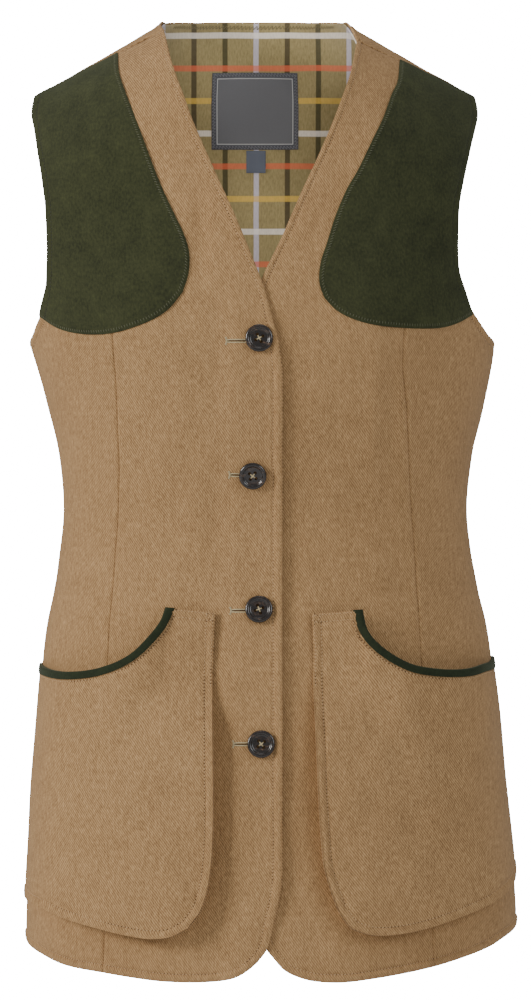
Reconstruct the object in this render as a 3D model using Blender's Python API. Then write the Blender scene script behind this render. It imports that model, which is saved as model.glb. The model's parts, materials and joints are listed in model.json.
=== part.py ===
"""Sleeveless shooting vest in its worn form: cloth panels, suede patches, bellows pockets, buttons, labels.

Metres, +Z up, the front faces -Y, +X is the wearer's left. The origin lies midway between the two
neck ends of the shoulders. Tables are in millimetres, read in the front view.
"""
import math

import bpy
import numpy as np
from mathutils import Vector
from mathutils.bvhtree import BVHTree

MM = 0.001
CLOTH = 1.6 * MM
SUEDE = 1.1 * MM
LINING = 1.0 * MM
POCKET_CLOTH = 1.5 * MM
SEAM_HALF = 0.2 * MM
PATCH_GAP = 0.35 * MM
LINING_GAP = 0.5 * MM
OVERLAP_LIFT = CLOTH + 0.7 * MM
FRONT, BACK = -1, 1

# Shoulder: the crest's height above the straight sides, its neck half width, how round the nape is across,
# the crest's slope, its softness.
ARCH = 90 * MM
NECK = 68 * MM
NAPE = 22 * MM
SLOPE = 0.57
SOFT = 6 * MM
FULLNESS = 0.2

# Height, then the middle, half width, front depth and back depth of the level cut there.
LEVELS = np.array([
    (-680, 13.0, 178.0, 131, 133),
    (-610, 12.2, 174.8, 129, 132),
    (-550, 10.8, 170.0, 126, 129),
    (-470, 9.8, 163.0, 119, 117),
    (-430, 9.2, 157.7, 113, 105),
    (-390, 8.5, 149.5, 106, 92),
    (-350, 8.0, 144.7, 102, 83),
    (-310, 8.5, 148.3, 110, 86),
    (-270, 8.7, 157.3, 119, 93),
    (-229, 6.0, 167.0, 122, 100),
    (-200, 2.0, 170.0, 119, 103),
    (-150, -0.5, 171.0, 109, 104),
    (-100, -0.5, 170.5, 97, 99),
    (-50, 0.0, 170.0, 83, 88),
    (20, 0.0, 170.0, 62, 72),
]) * MM
LEVEL_SLOPES = np.gradient(LEVELS[:, 1:], LEVELS[:, 0], axis=0)

# Bust, soft folds and hem waves of the front: x, z, half width across, half width up, height.
SWELLS = np.array([
    (-78, -222, 46, 60, 6.0),
    (82, -222, 46, 60, 6.0),
    (-36, -155, 7, 34, -1.6),
    (-27, -160, 8, 38, 1.4),
    (84, -290, 6, 45, 1.6),
    (96, -285, 5, 45, -1.4),
    (108, -295, 7, 40, 1.2),
    (-60, -660, 20, 60, 2.0),
    (70, -655, 22, 60, 2.0),
    (150, -560, 18, 90, 1.5),
    (-140, -560, 18, 90, 1.5),
]) * MM

SIDE_RIGHT = -0.3 / MM
SIDE_LEFT = 0.3 / MM
# Front pieces: the wearer's right front lies on top, its edge and neckline seen whole.
EDGE_TOP = [(3, -659), (10, -649), (14, -633), (19, -609), (20, -585), (20, -520), (20, -440), (20, -350),
            (20, -285), (20, -250)]
NECKLINE_TOP = [(20, -250), (18, -235), (14, -218), (6, -190), (-12, -145), (-27, -111), (-41, -78),
                (-53, -38), (-63, -4)]
EDGE_UNDER = [(15, -656), (8, -648), (1, -633), (-4, -609), (-5, -585), (-5, -520), (-5, -440), (-5, -350),
              (-5, -285), (-5, -250)]
NECKLINE_UNDER = [(-5, -250), (-5, -232), (-4, -218), (0, -203), (8, -185), (20, -157), (32, -129), (47, -96), (60, -64),
                  (69, -37), (74, -13)]
SHOULDER_TOP_RIGHT = [[(-63, -4), (-85, -15), (-107, -26.5)], [(-107, -26.5), (-130, -38), (-157, -51.5)]]
SHOULDER_TOP_LEFT = [[(74, -13), (94, -22), (113, -31)], [(113, -31), (134, -40.5), (158, -51.8)]]
ARMHOLE_RIGHT = [(SIDE_RIGHT, -229), (-159, -225), (-156, -220), (-150, -208), (-146, -193), (-145, -179),
                 (-145, -158), (-146, -136), (-149, -114), (-153, -92), (-156, -77), (-158.5, -64), (-157, -51.5)]
ARMHOLE_LEFT = [(SIDE_LEFT, -229), (169, -225), (164, -220), (155, -208), (148, -193), (144, -179), (143, -158),
                (144, -136), (148, -114), (153, -92), (157, -77), (159.5, -64), (158, -51.8)]
PRINCESS_RIGHT = [[(-105, -669), (-104, -640), (-103, -550), (-102, -455), (-99, -404), (-97, -374), (-95, -343),
                   (-94, -320), (-95, -290), (-96, -260), (-98, -232)],
                  [(-98, -232), (-100, -190), (-102, -150), (-104, -100), (-106, -60), (-107, -26.5)]]
PRINCESS_LEFT = [[(126, -659), (124, -638), (121, -550), (117, -449), (115, -414), (113, -381), (111, -351),
                  (109, -316), (107, -283), (104, -250), (104, -232)],
                 [(104, -232), (105, -190), (107, -150), (109, -100), (111, -60), (113, -31)]]
HEM_RIGHT = [[(SIDE_RIGHT, -653), (-161, -657), (-150, -661), (-133, -666), (-105, -669)],
             [(-105, -669), (-88, -671), (-66, -673), (-43, -673.5), (-25, -672.5), (-13, -670), (-4, -665),
              (3, -659)]]
HEM_LEFT = [[(15, -656), (21, -662), (30, -666), (42, -669), (60, -670), (81, -668), (105, -664), (126, -659)],
            [(126, -659), (148, -653), (167, -647), (179, -642), (SIDE_LEFT, -636)]]
SIDE_SEAM_RIGHT = [(SIDE_RIGHT, -653), (SIDE_RIGHT, -500), (SIDE_RIGHT, -350), (SIDE_RIGHT, -229)]
SIDE_SEAM_LEFT = [(SIDE_LEFT, -636), (SIDE_LEFT, -500), (SIDE_LEFT, -350), (SIDE_LEFT, -229)]

# Back: a point with a third value of 1 lies forward of the shoulder's crest.
BACK_HEM_RIGHT = [(SIDE_RIGHT, -653), (-150, -657), (-100, -659), (-50, -660), (0, -660)]
BACK_HEM_LEFT = [(0, -660), (50, -659), (100, -656), (150, -648), (SIDE_LEFT, -636)]
BACK_MIDDLE = [[(0, -660), (0, -500), (0, -350), (0, -229)], [(0, -229), (0, -150), (0, -70), (0, 11.3)]]
BACK_ARMHOLE_RIGHT = [(SIDE_RIGHT, -229), (-157, -222), (-152, -212), (-147, -198), (-144, -180), (-143, -158),
                      (-144, -136), (-147, -114), (-150.5, -92), (-154, -75), (-156.5, -60), (-157, -51.5, 1)]
BACK_ARMHOLE_LEFT = [(SIDE_LEFT, -229), (166, -222), (158, -212), (149, -198), (143, -180), (141, -158),
                     (142, -136), (145.5, -114), (150, -92), (154, -75), (157, -60), (158, -51.8, 1)]
BACK_NECK_RIGHT = [(0, 11.3), (-20, 10.9), (-38, 9.2), (-52, 6.8), (-61, 5), (-65, 1, 1), (-63, -4, 1)]
BACK_NECK_LEFT = [(0, 11.3), (20, 10.9), (38, 9.2), (52, 6.8), (61, 5), (69, -1.5, 1), (74, -13, 1)]

# Suede patches: inner edge from the shoulder down to the round corner, then the lower edge out.
PATCH_RIGHT_INNER = [(-49, -197), (-45, -184), (-44.5, -170), (-48, -157), (-54, -144), (-62, -127), (-69, -110),
                     (-76, -91), (-83, -72), (-90, -54), (-95.5, -37), (-97, -22.5)]
PATCH_RIGHT_LOWER = [(-151, -211), (-137, -220), (-124, -224), (-108, -225.5), (-94, -224), (-80, -220),
                     (-68, -215), (-58, -208), (-49, -197)]
PATCH_LEFT_INNER = [(49, -201), (45.5, -190), (46.5, -176), (51, -162), (57, -143), (65, -124), (73, -110),
                    (82, -91), (91, -72), (97, -55), (102, -43), (104, -28)]
PATCH_LEFT_LOWER = [(154, -210), (142, -217), (130, -220.5), (113, -221.5), (98, -221), (84, -219.5), (70, -216),
                    (58, -210), (49, -201)]
PATCH_BEYOND = [(-185, -190), (-185, 0), (-97, 0)]

# Bellows pockets: inner edge, lower edge, straight top, curved bound mouth, side seam.
POCKET_RIGHT = {
    "inner": [(-45, -630), (-37, -617), (-32, -603), (-29, -587), (-28, -568), (-28, -542), (-28, -506),
              (-29, -468), (-28, -445), (-26, -419)],
    "lower": [(SIDE_RIGHT, -624), (-160, -625.5), (-143, -629), (-124, -635), (-102, -640), (-82, -643),
              (-68, -642), (-56, -638.5), (-45, -630)],
    "top": [(-57, -416.5), (-42, -417.5), (-26, -419)],
    "mouth": [(SIDE_RIGHT, -459), (-143, -460), (-133, -461.5), (-123, -462), (-112, -460.5), (-100, -457),
              (-89, -451.5), (-78, -443), (-69, -434), (-62, -425), (-57, -416.5)],
    "side": [(SIDE_RIGHT, -624), (SIDE_RIGHT, -540), (SIDE_RIGHT, -459)],
}
POCKET_LEFT = {
    "inner": [(57, -620), (52, -606), (48, -592), (46, -571), (45, -549), (44, -523), (42, -497), (41, -471),
              (41, -445), (40, -420)],
    "lower": [(SIDE_LEFT, -603), (183, -609), (171, -616), (154, -624), (134, -630), (116, -635), (100, -638),
              (86, -639), (76, -637), (65, -631), (57, -620)],
    "top": [(69, -418), (55, -419), (40, -420)],
    "mouth": [(SIDE_LEFT, -449), (168, -453), (155, -457), (142, -459), (129, -458), (116, -456), (104, -453),
              (91, -447), (80, -439.5), (72.5, -429), (69, -418)],
    "side": [(SIDE_LEFT, -603), (SIDE_LEFT, -520), (SIDE_LEFT, -449)],
}
POCKET_STAND = 10.5 * MM
POCKET_FLAT = POCKET_CLOTH + 0.6 * MM
MOUTH_STAND = 1.7 * MM
BELLOWS_TOP = 0.8
GUSSET_INSET = 2.5 * MM
GUSSET_FOOT = 0.7 * MM

BUTTONS = [(3, -229), (-1, -324), (3, -418), (5, -510)]
BUTTON_PROFILE = [(2.0, 0.5), (2.0, 1.4), (8.6, 1.4), (10.0, 2.5), (10.0, 3.6), (9.2, 4.3), (7.4, 4.2), (6.4, 3.5)]
LABEL_MAIN = (-32, 33, -80, -24)
LABEL_SIZE = (-6, 8.5, -97, -80.6)


def crest(x):
    """Height of the shoulder's ridge line over x."""
    d = math.hypot(NECK, NAPE) - np.hypot(x, NAPE)
    return (ARCH / NECK + SLOPE) / 2 * d + (ARCH / NECK - SLOPE) / 2 * np.hypot(d, SOFT)


def level(q):
    """Middle, half width, front depth and back depth of the level cut at q, smoothly joined."""
    q = np.clip(q, LEVELS[0, 0], LEVELS[-1, 0])
    i = np.clip(np.searchsorted(LEVELS[:, 0], q) - 1, 0, len(LEVELS) - 2)
    step = LEVELS[i + 1, 0] - LEVELS[i, 0]
    f = (q - LEVELS[i, 0]) / step
    low, high = LEVELS[i, 1:], LEVELS[i + 1, 1:]
    f, step = f[..., None], step[..., None]
    sizes = (low * (2 * f ** 3 - 3 * f ** 2 + 1) + high * (3 * f ** 2 - 2 * f ** 3)
             + LEVEL_SLOPES[i] * step * (f ** 3 - 2 * f ** 2 + f) + LEVEL_SLOPES[i + 1] * step * (f ** 3 - f ** 2))
    return [sizes[..., k] for k in range(4)]


def swell(x, z):
    """How far bust and soft folds stand out of the front's plain form."""
    total = np.zeros_like(x)
    for x0, z0, wide, high, out in SWELLS:
        total += out * np.exp(-((x - x0) / wide) ** 2 - ((z - z0) / high) ** 2)
    return total


def form(a, q, side):
    """Points of the outer face: a turns round a level cut from its middle, q climbs and goes over the shoulder."""
    middle, half, _, _ = level(q)
    x = middle + half * np.sin(a)
    top = crest(x) + ARCH * (math.pi / 2 - 1)
    over = q > top
    q = np.where(over, 2 * top - q, q)
    facing = np.where(over, -side, side)
    middle, half, front, behind = level(q)
    s = np.clip((x - middle) / half, -1, 1)
    c = np.where(over, np.sqrt(1 - s * s), np.cos(a))
    base = crest(x) - ARCH
    lean = np.clip((q - base) / ARCH, 0, math.pi / 2)
    z = np.where(q > base, base + ARCH * np.sin(lean), q)
    depth = np.where(facing < 0, front, behind) * (1 + FULLNESS * s * s)
    depth = (depth + np.where(facing < 0, swell(x, z), 0)) * c * np.cos(lean)
    return np.stack([x, facing * depth, z], axis=-1)


def normal(a, q, side):
    """Outward unit directions of the outer face."""
    da = form(a + 1e-3, q, side) - form(a - 1e-3, q, side)
    dq = form(a, q + 1e-4, side) - form(a, q - 1e-4, side)
    n = np.cross(da, dq) * -side
    return n / np.linalg.norm(n, axis=-1, keepdims=True)


def spot(x, z, side, over=0):
    """The form's own pair (a, q) for a point read in the front view, in millimetres."""
    x, z = np.array(x * MM), np.array(z * MM)
    if abs(x) < 0.25:
        base = crest(x) - ARCH
        q = np.where(z > base, base + ARCH * np.arcsin(np.clip((z - base) / ARCH, -1, 1)), z)
    else:
        q = z
    if over:
        q = 2 * (crest(x) + ARCH * (math.pi / 2 - 1)) - q
    middle, half, _, _ = level(q)
    return float(np.arcsin(np.clip((x - middle) / half, -1, 1))), float(q)


def line(points, side, steps):
    """A smooth line through points of the front view, cut into even steps of (a, q)."""
    knots = np.array([spot(p[0], p[1], side, len(p) > 2) for p in points])
    knots = np.vstack([2 * knots[0] - knots[1], knots, 2 * knots[-1] - knots[-2]])
    dense = []
    for i in range(1, len(knots) - 2):
        for f in np.linspace(0, 1, 16, endpoint=False):
            p0, p1, p2, p3 = knots[i - 1:i + 3]
            dense.append(0.5 * (2 * p1 + (p2 - p0) * f + (2 * p0 - 5 * p1 + 4 * p2 - p3) * f ** 2
                                + (3 * p1 - p0 - 3 * p2 + p3) * f ** 3))
    dense.append(knots[-2])
    dense = np.array(dense)
    length = np.concatenate([[0], np.cumsum(np.hypot(*(np.diff(dense, axis=0) * (0.13, 1.0)).T))])
    marks = np.linspace(0, length[-1], steps + 1)
    return np.stack([np.interp(marks, length, dense[:, k]) for k in range(2)], axis=-1)


def chain(parts, side, steps):
    """Several smooth lines end to end, each cut into its own number of steps."""
    lines = [line(p, side, n) for p, n in zip(parts, steps)]
    return np.vstack([lines[0]] + [part[1:] for part in lines[1:]])


def spread(lower, upper, low_x, high_x):
    """A net between four edges: rows climb from the lower edge, columns run from low x to high x."""
    u = np.linspace(0, 1, len(lower))[None, :, None]
    v = np.linspace(0, 1, len(low_x))[:, None, None]
    return ((1 - v) * lower[None] + v * upper[None] + (1 - u) * low_x[:, None] + u * high_x[:, None]
            - (1 - u) * (1 - v) * lower[0] - u * (1 - v) * lower[-1] - (1 - u) * v * upper[0] - u * v * upper[-1])


def out(net, side, rise):
    """Points over a net of (a, q), moved out along the form's own directions."""
    a, q = net[..., 0], net[..., 1]
    return form(a, q, side) + normal(a, q, side) * np.broadcast_to(rise, a.shape)[..., None]


def draw_in(points, edges):
    """Pull the named border lines of a net in by half a seam's gap."""
    lines = {"low_x": (np.s_[:, 0], np.s_[:, 1]), "high_x": (np.s_[:, -1], np.s_[:, -2]),
             "lower": (np.s_[0], np.s_[1]), "upper": (np.s_[-1], np.s_[-2])}
    for edge in edges:
        rim, inner = lines[edge]
        way = points[inner] - points[rim]
        points[rim] += way / np.linalg.norm(way, axis=-1, keepdims=True) * SEAM_HALF
    return points


def add_solid(name, points, triangles):
    """One closed body facing out."""
    points = np.asarray(points, dtype=float)
    tri = np.asarray(triangles, dtype=int)
    p = points[tri]
    volume = np.einsum("ij,ij->i", p[:, 0], np.cross(p[:, 1], p[:, 2])).sum()
    if volume < 0:
        tri = tri[:, ::-1]
    mesh = bpy.data.meshes.new(name)
    mesh.from_pydata(points.tolist(), [], tri.tolist())
    mesh.update()
    item = bpy.data.objects.new(name, mesh)
    bpy.context.scene.collection.objects.link(item)
    return item


def close_skin(name, outer, inner, faces):
    """Join an outer and an inner skin of the same faces round their open border."""
    count = len(outer)
    edges = {}
    for face in faces:
        for k in range(3):
            edge = (face[k], face[(k + 1) % 3])
            edges[edge] = True
    rim = [e for e in edges if (e[1], e[0]) not in edges]
    triangles = list(faces) + [(c + count, b + count, a + count) for a, b, c in faces]
    for a, b in rim:
        if np.linalg.norm(outer[b] - inner[a]) < np.linalg.norm(outer[a] - inner[b]):
            triangles += [(b, a, a + count), (b, a + count, b + count)]
        else:
            triangles += [(b, a, b + count), (a, a + count, b + count)]
    return add_solid(name, np.vstack([outer, inner]), triangles)


def net_faces(rows, columns):
    """Triangles over a net, numbered row by row."""
    faces = []
    for i in range(rows - 1):
        for j in range(columns - 1):
            k = i * columns + j
            faces += [(k, k + 1, k + columns + 1), (k, k + columns + 1, k + columns)]
    return faces


def cloth(name, net, side, high, wall, edges):
    """A piece of cloth over a net: its outer face stands high above the form, its wall goes inward."""
    outer = draw_in(out(net, side, high), edges)
    inner = draw_in(out(net, side, high - wall), edges)
    faces = net_faces(net.shape[0], net.shape[1])
    return close_skin(name, outer.reshape(-1, 3), inner.reshape(-1, 3), faces)


def ease(f):
    """0 below 0, 1 above 1, smooth between."""
    f = np.clip(f, 0, 1)
    return f * f * (3 - 2 * f)


ROWS = (16, 12)
NECK_ROWS = 6
CENTRE_COLUMNS = 10
SIDE_COLUMNS = 8
FRONT_NETS = {}


def overlap(x):
    """How far the wearer's right front is lifted where it lies over the left one."""
    return OVERLAP_LIFT * ease((x + 27 * MM) / (17 * MM))


def add_fronts():
    """Two fronts, each of a centre and a side piece joined at the princess seam."""
    seam = chain(PRINCESS_RIGHT, FRONT, ROWS)
    side = spread(line(HEM_RIGHT[0], FRONT, SIDE_COLUMNS), line(SHOULDER_TOP_RIGHT[1][::-1], FRONT, SIDE_COLUMNS),
                  chain([SIDE_SEAM_RIGHT, ARMHOLE_RIGHT], FRONT, ROWS), seam)
    cloth("front_right_side", side, FRONT, 0.0, CLOTH, ("low_x", "high_x", "upper"))
    centre = spread(line(HEM_RIGHT[1], FRONT, CENTRE_COLUMNS),
                    line(SHOULDER_TOP_RIGHT[0][::-1], FRONT, CENTRE_COLUMNS),
                    seam, chain([EDGE_TOP, NECKLINE_TOP], FRONT, ROWS))
    x = form(centre[..., 0], centre[..., 1], FRONT)[..., 0]
    cloth("front_right_centre", centre, FRONT, overlap(x), CLOTH, ("low_x", "upper"))
    FRONT_NETS["right"] = np.concatenate([side, centre[:, 1:]], axis=1)
    seam = chain(PRINCESS_LEFT, FRONT, ROWS)
    centre = spread(line(HEM_LEFT[0], FRONT, CENTRE_COLUMNS), line(SHOULDER_TOP_LEFT[0], FRONT, CENTRE_COLUMNS),
                    chain([EDGE_UNDER, NECKLINE_UNDER], FRONT, ROWS), seam)
    cloth("front_left_centre", centre, FRONT, 0.0, CLOTH, ("high_x", "upper"))
    side = spread(line(HEM_LEFT[1], FRONT, SIDE_COLUMNS), line(SHOULDER_TOP_LEFT[1], FRONT, SIDE_COLUMNS), seam,
                  chain([SIDE_SEAM_LEFT, ARMHOLE_LEFT], FRONT, ROWS))
    cloth("front_left_side", side, FRONT, 0.0, CLOTH, ("low_x", "high_x", "upper"))
    FRONT_NETS["left"] = np.concatenate([centre, side[:, 1:]], axis=1)


def over_crest(points):
    """The back's own pairs (a, q) for a line of the front near the shoulder."""
    a, q = points[:, 0], points[:, 1]
    middle, half, _, _ = level(q)
    x = middle + half * np.sin(a)
    q = 2 * (crest(x) + ARCH * (math.pi / 2 - 1)) - q
    middle, half, _, _ = level(q)
    return np.stack([np.arcsin(np.clip((x - middle) / half, -1, 1)), q], axis=-1)


def back_nets():
    """The back's two nets; they meet on the middle line below the neck and part round the neck's edge."""
    rows = (ROWS[0], ROWS[1] - NECK_ROWS, NECK_ROWS)
    across = (CENTRE_COLUMNS + SIDE_COLUMNS) // 2
    right = spread(line(BACK_HEM_RIGHT, BACK, across), over_crest(FRONT_NETS["right"][-1, ::2]),
                   chain([SIDE_SEAM_RIGHT, BACK_ARMHOLE_RIGHT], BACK, ROWS),
                   chain(BACK_MIDDLE + [BACK_NECK_RIGHT], BACK, rows))
    left = spread(line(BACK_HEM_LEFT, BACK, across), over_crest(FRONT_NETS["left"][-1, ::2]),
                  chain(BACK_MIDDLE + [BACK_NECK_LEFT], BACK, rows),
                  chain([SIDE_SEAM_LEFT, BACK_ARMHOLE_LEFT], BACK, ROWS))
    return right, left


def add_back_layer(name, nets, high, wall, right_edges, left_edges):
    """One layer of the back: both nets joined into one piece along the middle line."""
    right, left = nets
    rows, columns = right.shape[:2]
    joined = ROWS[0] + ROWS[1] - NECK_ROWS + 1
    number = np.arange(rows * columns).reshape(rows, columns)
    other = number + rows * columns
    other[:joined, 0] = number[:joined, -1]
    faces = []
    for grid in (number, other):
        for i in range(rows - 1):
            for j in range(columns - 1):
                a, b, c, d = grid[i, j], grid[i, j + 1], grid[i + 1, j + 1], grid[i + 1, j]
                faces += [(a, b, c), (a, c, d)]
    used = np.unique(np.array(faces))
    place = {old: new for new, old in enumerate(used)}
    faces = [tuple(place[k] for k in face) for face in faces]
    skins = []
    for down in (0.0, wall):
        points = [draw_in(out(right, BACK, high[0] - down), right_edges),
                  draw_in(out(left, BACK, high[1] - down), left_edges)]
        skins.append(np.concatenate([p.reshape(-1, 3) for p in points])[used])
    close_skin(name, skins[0], skins[1], faces)


def add_back():
    """One back piece with its lining, which shows in the neck."""
    right, left = back_nets()
    add_back_layer("back", (right, left), (0.0, 0.0), CLOTH, ("low_x", "upper"), ("high_x", "upper"))
    for net in (right, left):
        net[0] += (net[1] - net[0]) * 0.5
    tree = triangles_of(["back"])
    high = [cloth_height(net, BACK, tree) - LINING_GAP for net in (right, left)]
    add_back_layer("lining_back", (right, left), high, LINING, (), ())


def add_patch(name, net, inner, lower, sign):
    """A suede patch: a sheet that follows the front's own net, cut to the patch's outline."""
    sheet_net = net[ROWS[0] - 2:]
    x = form(sheet_net[..., 0], sheet_net[..., 1], FRONT)[..., 0]
    high = PATCH_GAP + SUEDE + (overlap(x) if sign > 0 else 0)
    sheet = cloth(name, sheet_net, FRONT, high, SUEDE, ("upper",))
    outline = lower[:-1] + inner[:-1] + [inner[-1]] + [(sign * x, z) for x, z in PATCH_BEYOND[::-1]]
    count = len(outline)
    points = [(x * MM, y, z * MM) for y in (-0.3, -0.0005) for x, z in outline]
    mesh = bpy.data.meshes.new("outline")
    rings = [tuple(range(count)), tuple(range(2 * count - 1, count - 1, -1))]
    rings += [((k + 1) % count, k, k + count, (k + 1) % count + count) for k in range(count)]
    mesh.from_pydata(points, [], rings)
    cutter = bpy.data.objects.new("outline", mesh)
    bpy.context.scene.collection.objects.link(cutter)
    cut = sheet.modifiers.new("outline", "BOOLEAN")
    cut.operation = "INTERSECT"
    cut.solver = "EXACT"
    cut.object = cutter
    bpy.context.view_layer.update()
    cut_mesh = bpy.data.meshes.new_from_object(sheet.evaluated_get(bpy.context.evaluated_depsgraph_get()))
    sheet.modifiers.clear()
    sheet.data = cut_mesh
    bpy.data.objects.remove(cutter, do_unlink=True)


def triangles_of(names):
    """A search tree over the triangles of some pieces."""
    points, faces = [], []
    for name in names:
        mesh = bpy.data.objects[name].data
        start = len(points)
        points += [v.co.copy() for v in mesh.vertices]
        faces += [tuple(start + k for k in f.vertices) for f in mesh.polygons]
    return BVHTree.FromPolygons(points, faces)


def cloth_height(net, side, tree):
    """Height of the cloth below a net's points over the plain form, met from outside (or from inside)."""
    points, ways = out(net, side, 0.0), normal(net[..., 0], net[..., 1], side)
    reach = 0.02 if side == FRONT else -0.02
    height = np.full(net.shape[:-1], 0.0 if side == FRONT else -CLOTH)
    for at in np.ndindex(height.shape):
        n = Vector(ways[at])
        hit = tree.ray_cast(Vector(points[at]) + n * reach, n * (-1 if reach > 0 else 1), 0.03)
        if hit[0] is not None:
            height[at] = (hit[0] - Vector(points[at])).dot(n)
    return height if side == FRONT else np.minimum(height, -CLOTH)


def pocket_stand(rows, columns, right):
    """How far a pocket stands off: rows climb to the mouth, columns run between front edge and side seam."""
    v = np.linspace(0, 1, rows)[:, None]
    u = np.linspace(1, 0, columns)[None, :] if right else np.linspace(0, 1, columns)[None, :]
    edge = ease((BELLOWS_TOP - v) / 0.22)
    body = edge + (1 - edge) * ease(u / 0.45)
    fade = 1 - ease((u - 0.72) / 0.28)
    return POCKET_FLAT + MOUTH_STAND * ease((v - 0.78) / 0.22) + POCKET_STAND * body * fade


def add_pocket(name, table, right, tree):
    """A bellows pocket: a face that stands off the front and a gusset folded back to it, open at the mouth."""
    rows, columns = 12, 18
    lower = line(table["lower"], FRONT, columns - 1)
    upper = np.vstack([line(table["mouth"], FRONT, columns - 4), line(table["top"], FRONT, 3)[1:]])
    side, inner = line(table["side"], FRONT, rows - 1), line(table["inner"], FRONT, rows - 1)
    net = spread(lower, upper, side, inner) if right else spread(lower[::-1], upper[::-1], inner, side)
    ground = cloth_height(net, FRONT, tree)
    stand = pocket_stand(rows, columns, right)
    outer = out(net, FRONT, ground + stand)
    ways = normal(net[..., 0], net[..., 1], FRONT)
    facing = np.cross(np.gradient(outer, axis=1), np.gradient(outer, axis=0))
    back = outer - facing / np.linalg.norm(facing, axis=-1, keepdims=True) * POCKET_CLOTH
    edges = ("low_x",) if right else ("high_x",)
    outer, back = draw_in(outer, edges), draw_in(back, edges)
    faces = net_faces(rows, columns)
    # The gusset's foot runs down the inner edge and along the lower edge, drawn in under the face.
    column, inward = (columns - 1, -1) if right else (0, 1)
    start = int(math.ceil(BELLOWS_TOP * (rows - 1)))
    path = [(i, column) for i in range(start, -1, -1)] + [(0, column + inward * k) for k in range(1, columns - 1)]
    feet, feet_back = [], []
    for k, (i, j) in enumerate(path[1:]):
        n, pull = ways[i, j], np.zeros(3)
        inset = 0.3 * MM + GUSSET_INSET * min(1, k / 2, (len(path) - 2 - k) / 2)
        if j == column:
            way = outer[i, j + inward] - outer[i, j]
            pull += way / np.linalg.norm(way)
        if i == 0:
            way = outer[1, j] - outer[0, j]
            pull += way / np.linalg.norm(way)
        pull -= n * float(pull @ n)
        pull /= np.linalg.norm(pull)
        foot = outer[i, j] + pull * inset - n * (stand[i, j] - GUSSET_FOOT)
        feet.append(foot)
        feet_back.append(foot + pull * POCKET_CLOTH)
        back[i, j] += pull * POCKET_CLOTH
    count = rows * columns
    rim = [i * columns + j for i, j in path]
    end = rim[-1] + inward
    foot = [rim[0]] + [count + k for k in range(len(feet))] + [end]
    rim = rim + [end]
    turn = -1 if right else 1
    for k in range(len(rim) - 1):
        for face in ((rim[k], foot[k], foot[k + 1]), (rim[k], foot[k + 1], rim[k + 1])):
            if len(set(face)) == 3:
                faces.append(face[::turn])
    close_skin(name, np.vstack([outer.reshape(-1, 3), feet]), np.vstack([back.reshape(-1, 3), feet_back]), faces)
    return outer[-1], outer[-2]


BINDING_DEEP = 3.7
BINDING_SECTION = [(-BINDING_DEEP, 1.15), (0.3, 1.15), (1.1, 0.3), (1.1, -1.8), (0.3, -2.7), (-BINDING_DEEP, -2.7),
                   (-BINDING_DEEP, -2.1), (0.45, -2.1), (0.45, 0.6), (-BINDING_DEEP, 0.6)]


def add_binding(name, mouth, below, right, tree):
    """A suede strip folded over the curved mouth of a pocket; the tree holds the pocket's own faces."""
    last = len(mouth) - 1
    picks = list(range(last - 2)) if right else list(range(3, last + 1))
    rings = []
    for j in picks:
        before, after = mouth[max(j - 1, picks[0])], mouth[min(j + 1, picks[-1])]
        along = (after - before) / np.linalg.norm(after - before)
        up = mouth[j] - below[j]
        up -= along * float(up @ along)
        up /= np.linalg.norm(up)
        face = np.cross(along, up)
        start = Vector(mouth[j] - up * BINDING_DEEP * MM + face * 5 * MM)
        hit = tree.ray_cast(start, Vector(-face), 0.01)
        if hit[0] is not None:
            up = mouth[j] - np.array(hit[0])
            up -= along * float(up @ along)
            up /= np.linalg.norm(up)
            face = np.cross(along, up)
        ends = (1.0 if j == picks[0] else 0.0) - (1.0 if j == picks[-1] else 0.0)
        at = mouth[j] + along * ends * MM
        loose = 0.9 * max(0.0, 1 - (picks[-1] - j if right else j - picks[0]) / 4)
        rings.append([at + up * (e + (0.7 * loose if e > 0 else 0)) * MM
                      + face * (h + math.copysign(loose, h)) * MM for e, h in BINDING_SECTION])
    ring = len(BINDING_SECTION)
    faces = []
    for i in range(len(rings) - 1):
        for k in range(ring):
            a, b = i * ring + k, i * ring + (k + 1) % ring
            if BINDING_SECTION[k][0] > BINDING_SECTION[(k + 1) % ring][0]:
                faces += [(a, b, a + ring), (b, b + ring, a + ring)]
            else:
                faces += [(a, b, b + ring), (a, b + ring, a + ring)]
    cap = [(9, 0, 1), (9, 1, 8), (8, 1, 2), (8, 2, 3), (8, 3, 7), (7, 3, 4), (7, 4, 6), (6, 4, 5)]
    far = (len(rings) - 1) * ring
    faces += [(c, b, a) for a, b, c in cap]
    faces += [(a + far, b + far, c + far) for a, b, c in cap]
    add_solid(name, np.array(rings).reshape(-1, 3), faces)


def add_button(name, x, z):
    """A turned button with a thread shank."""
    a, q = (np.array(v) for v in spot(x, z, FRONT))
    n = normal(a, q, FRONT)
    across = np.cross(n, (0, 0, 1.0))
    across /= np.linalg.norm(across)
    up = np.cross(across, n)
    base = form(a, q, FRONT) + n * OVERLAP_LIFT
    turns = 14
    points, faces = [], []
    for radius, high in BUTTON_PROFILE:
        for k in range(turns):
            angle = 2 * math.pi * k / turns
            points.append(base + n * high * MM + (across * math.cos(angle) + up * math.sin(angle)) * radius * MM)
    for i in range(len(BUTTON_PROFILE) - 1):
        for k in range(turns):
            a0, b0 = i * turns + k, i * turns + (k + 1) % turns
            faces += [(a0, b0, b0 + turns), (a0, b0 + turns, a0 + turns)]
    last = (len(BUTTON_PROFILE) - 1) * turns
    for k in range(1, turns - 1):
        faces += [(0, k + 1, k), (last, last + k, last + k + 1)]
    add_solid(name, points, faces)


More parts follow.
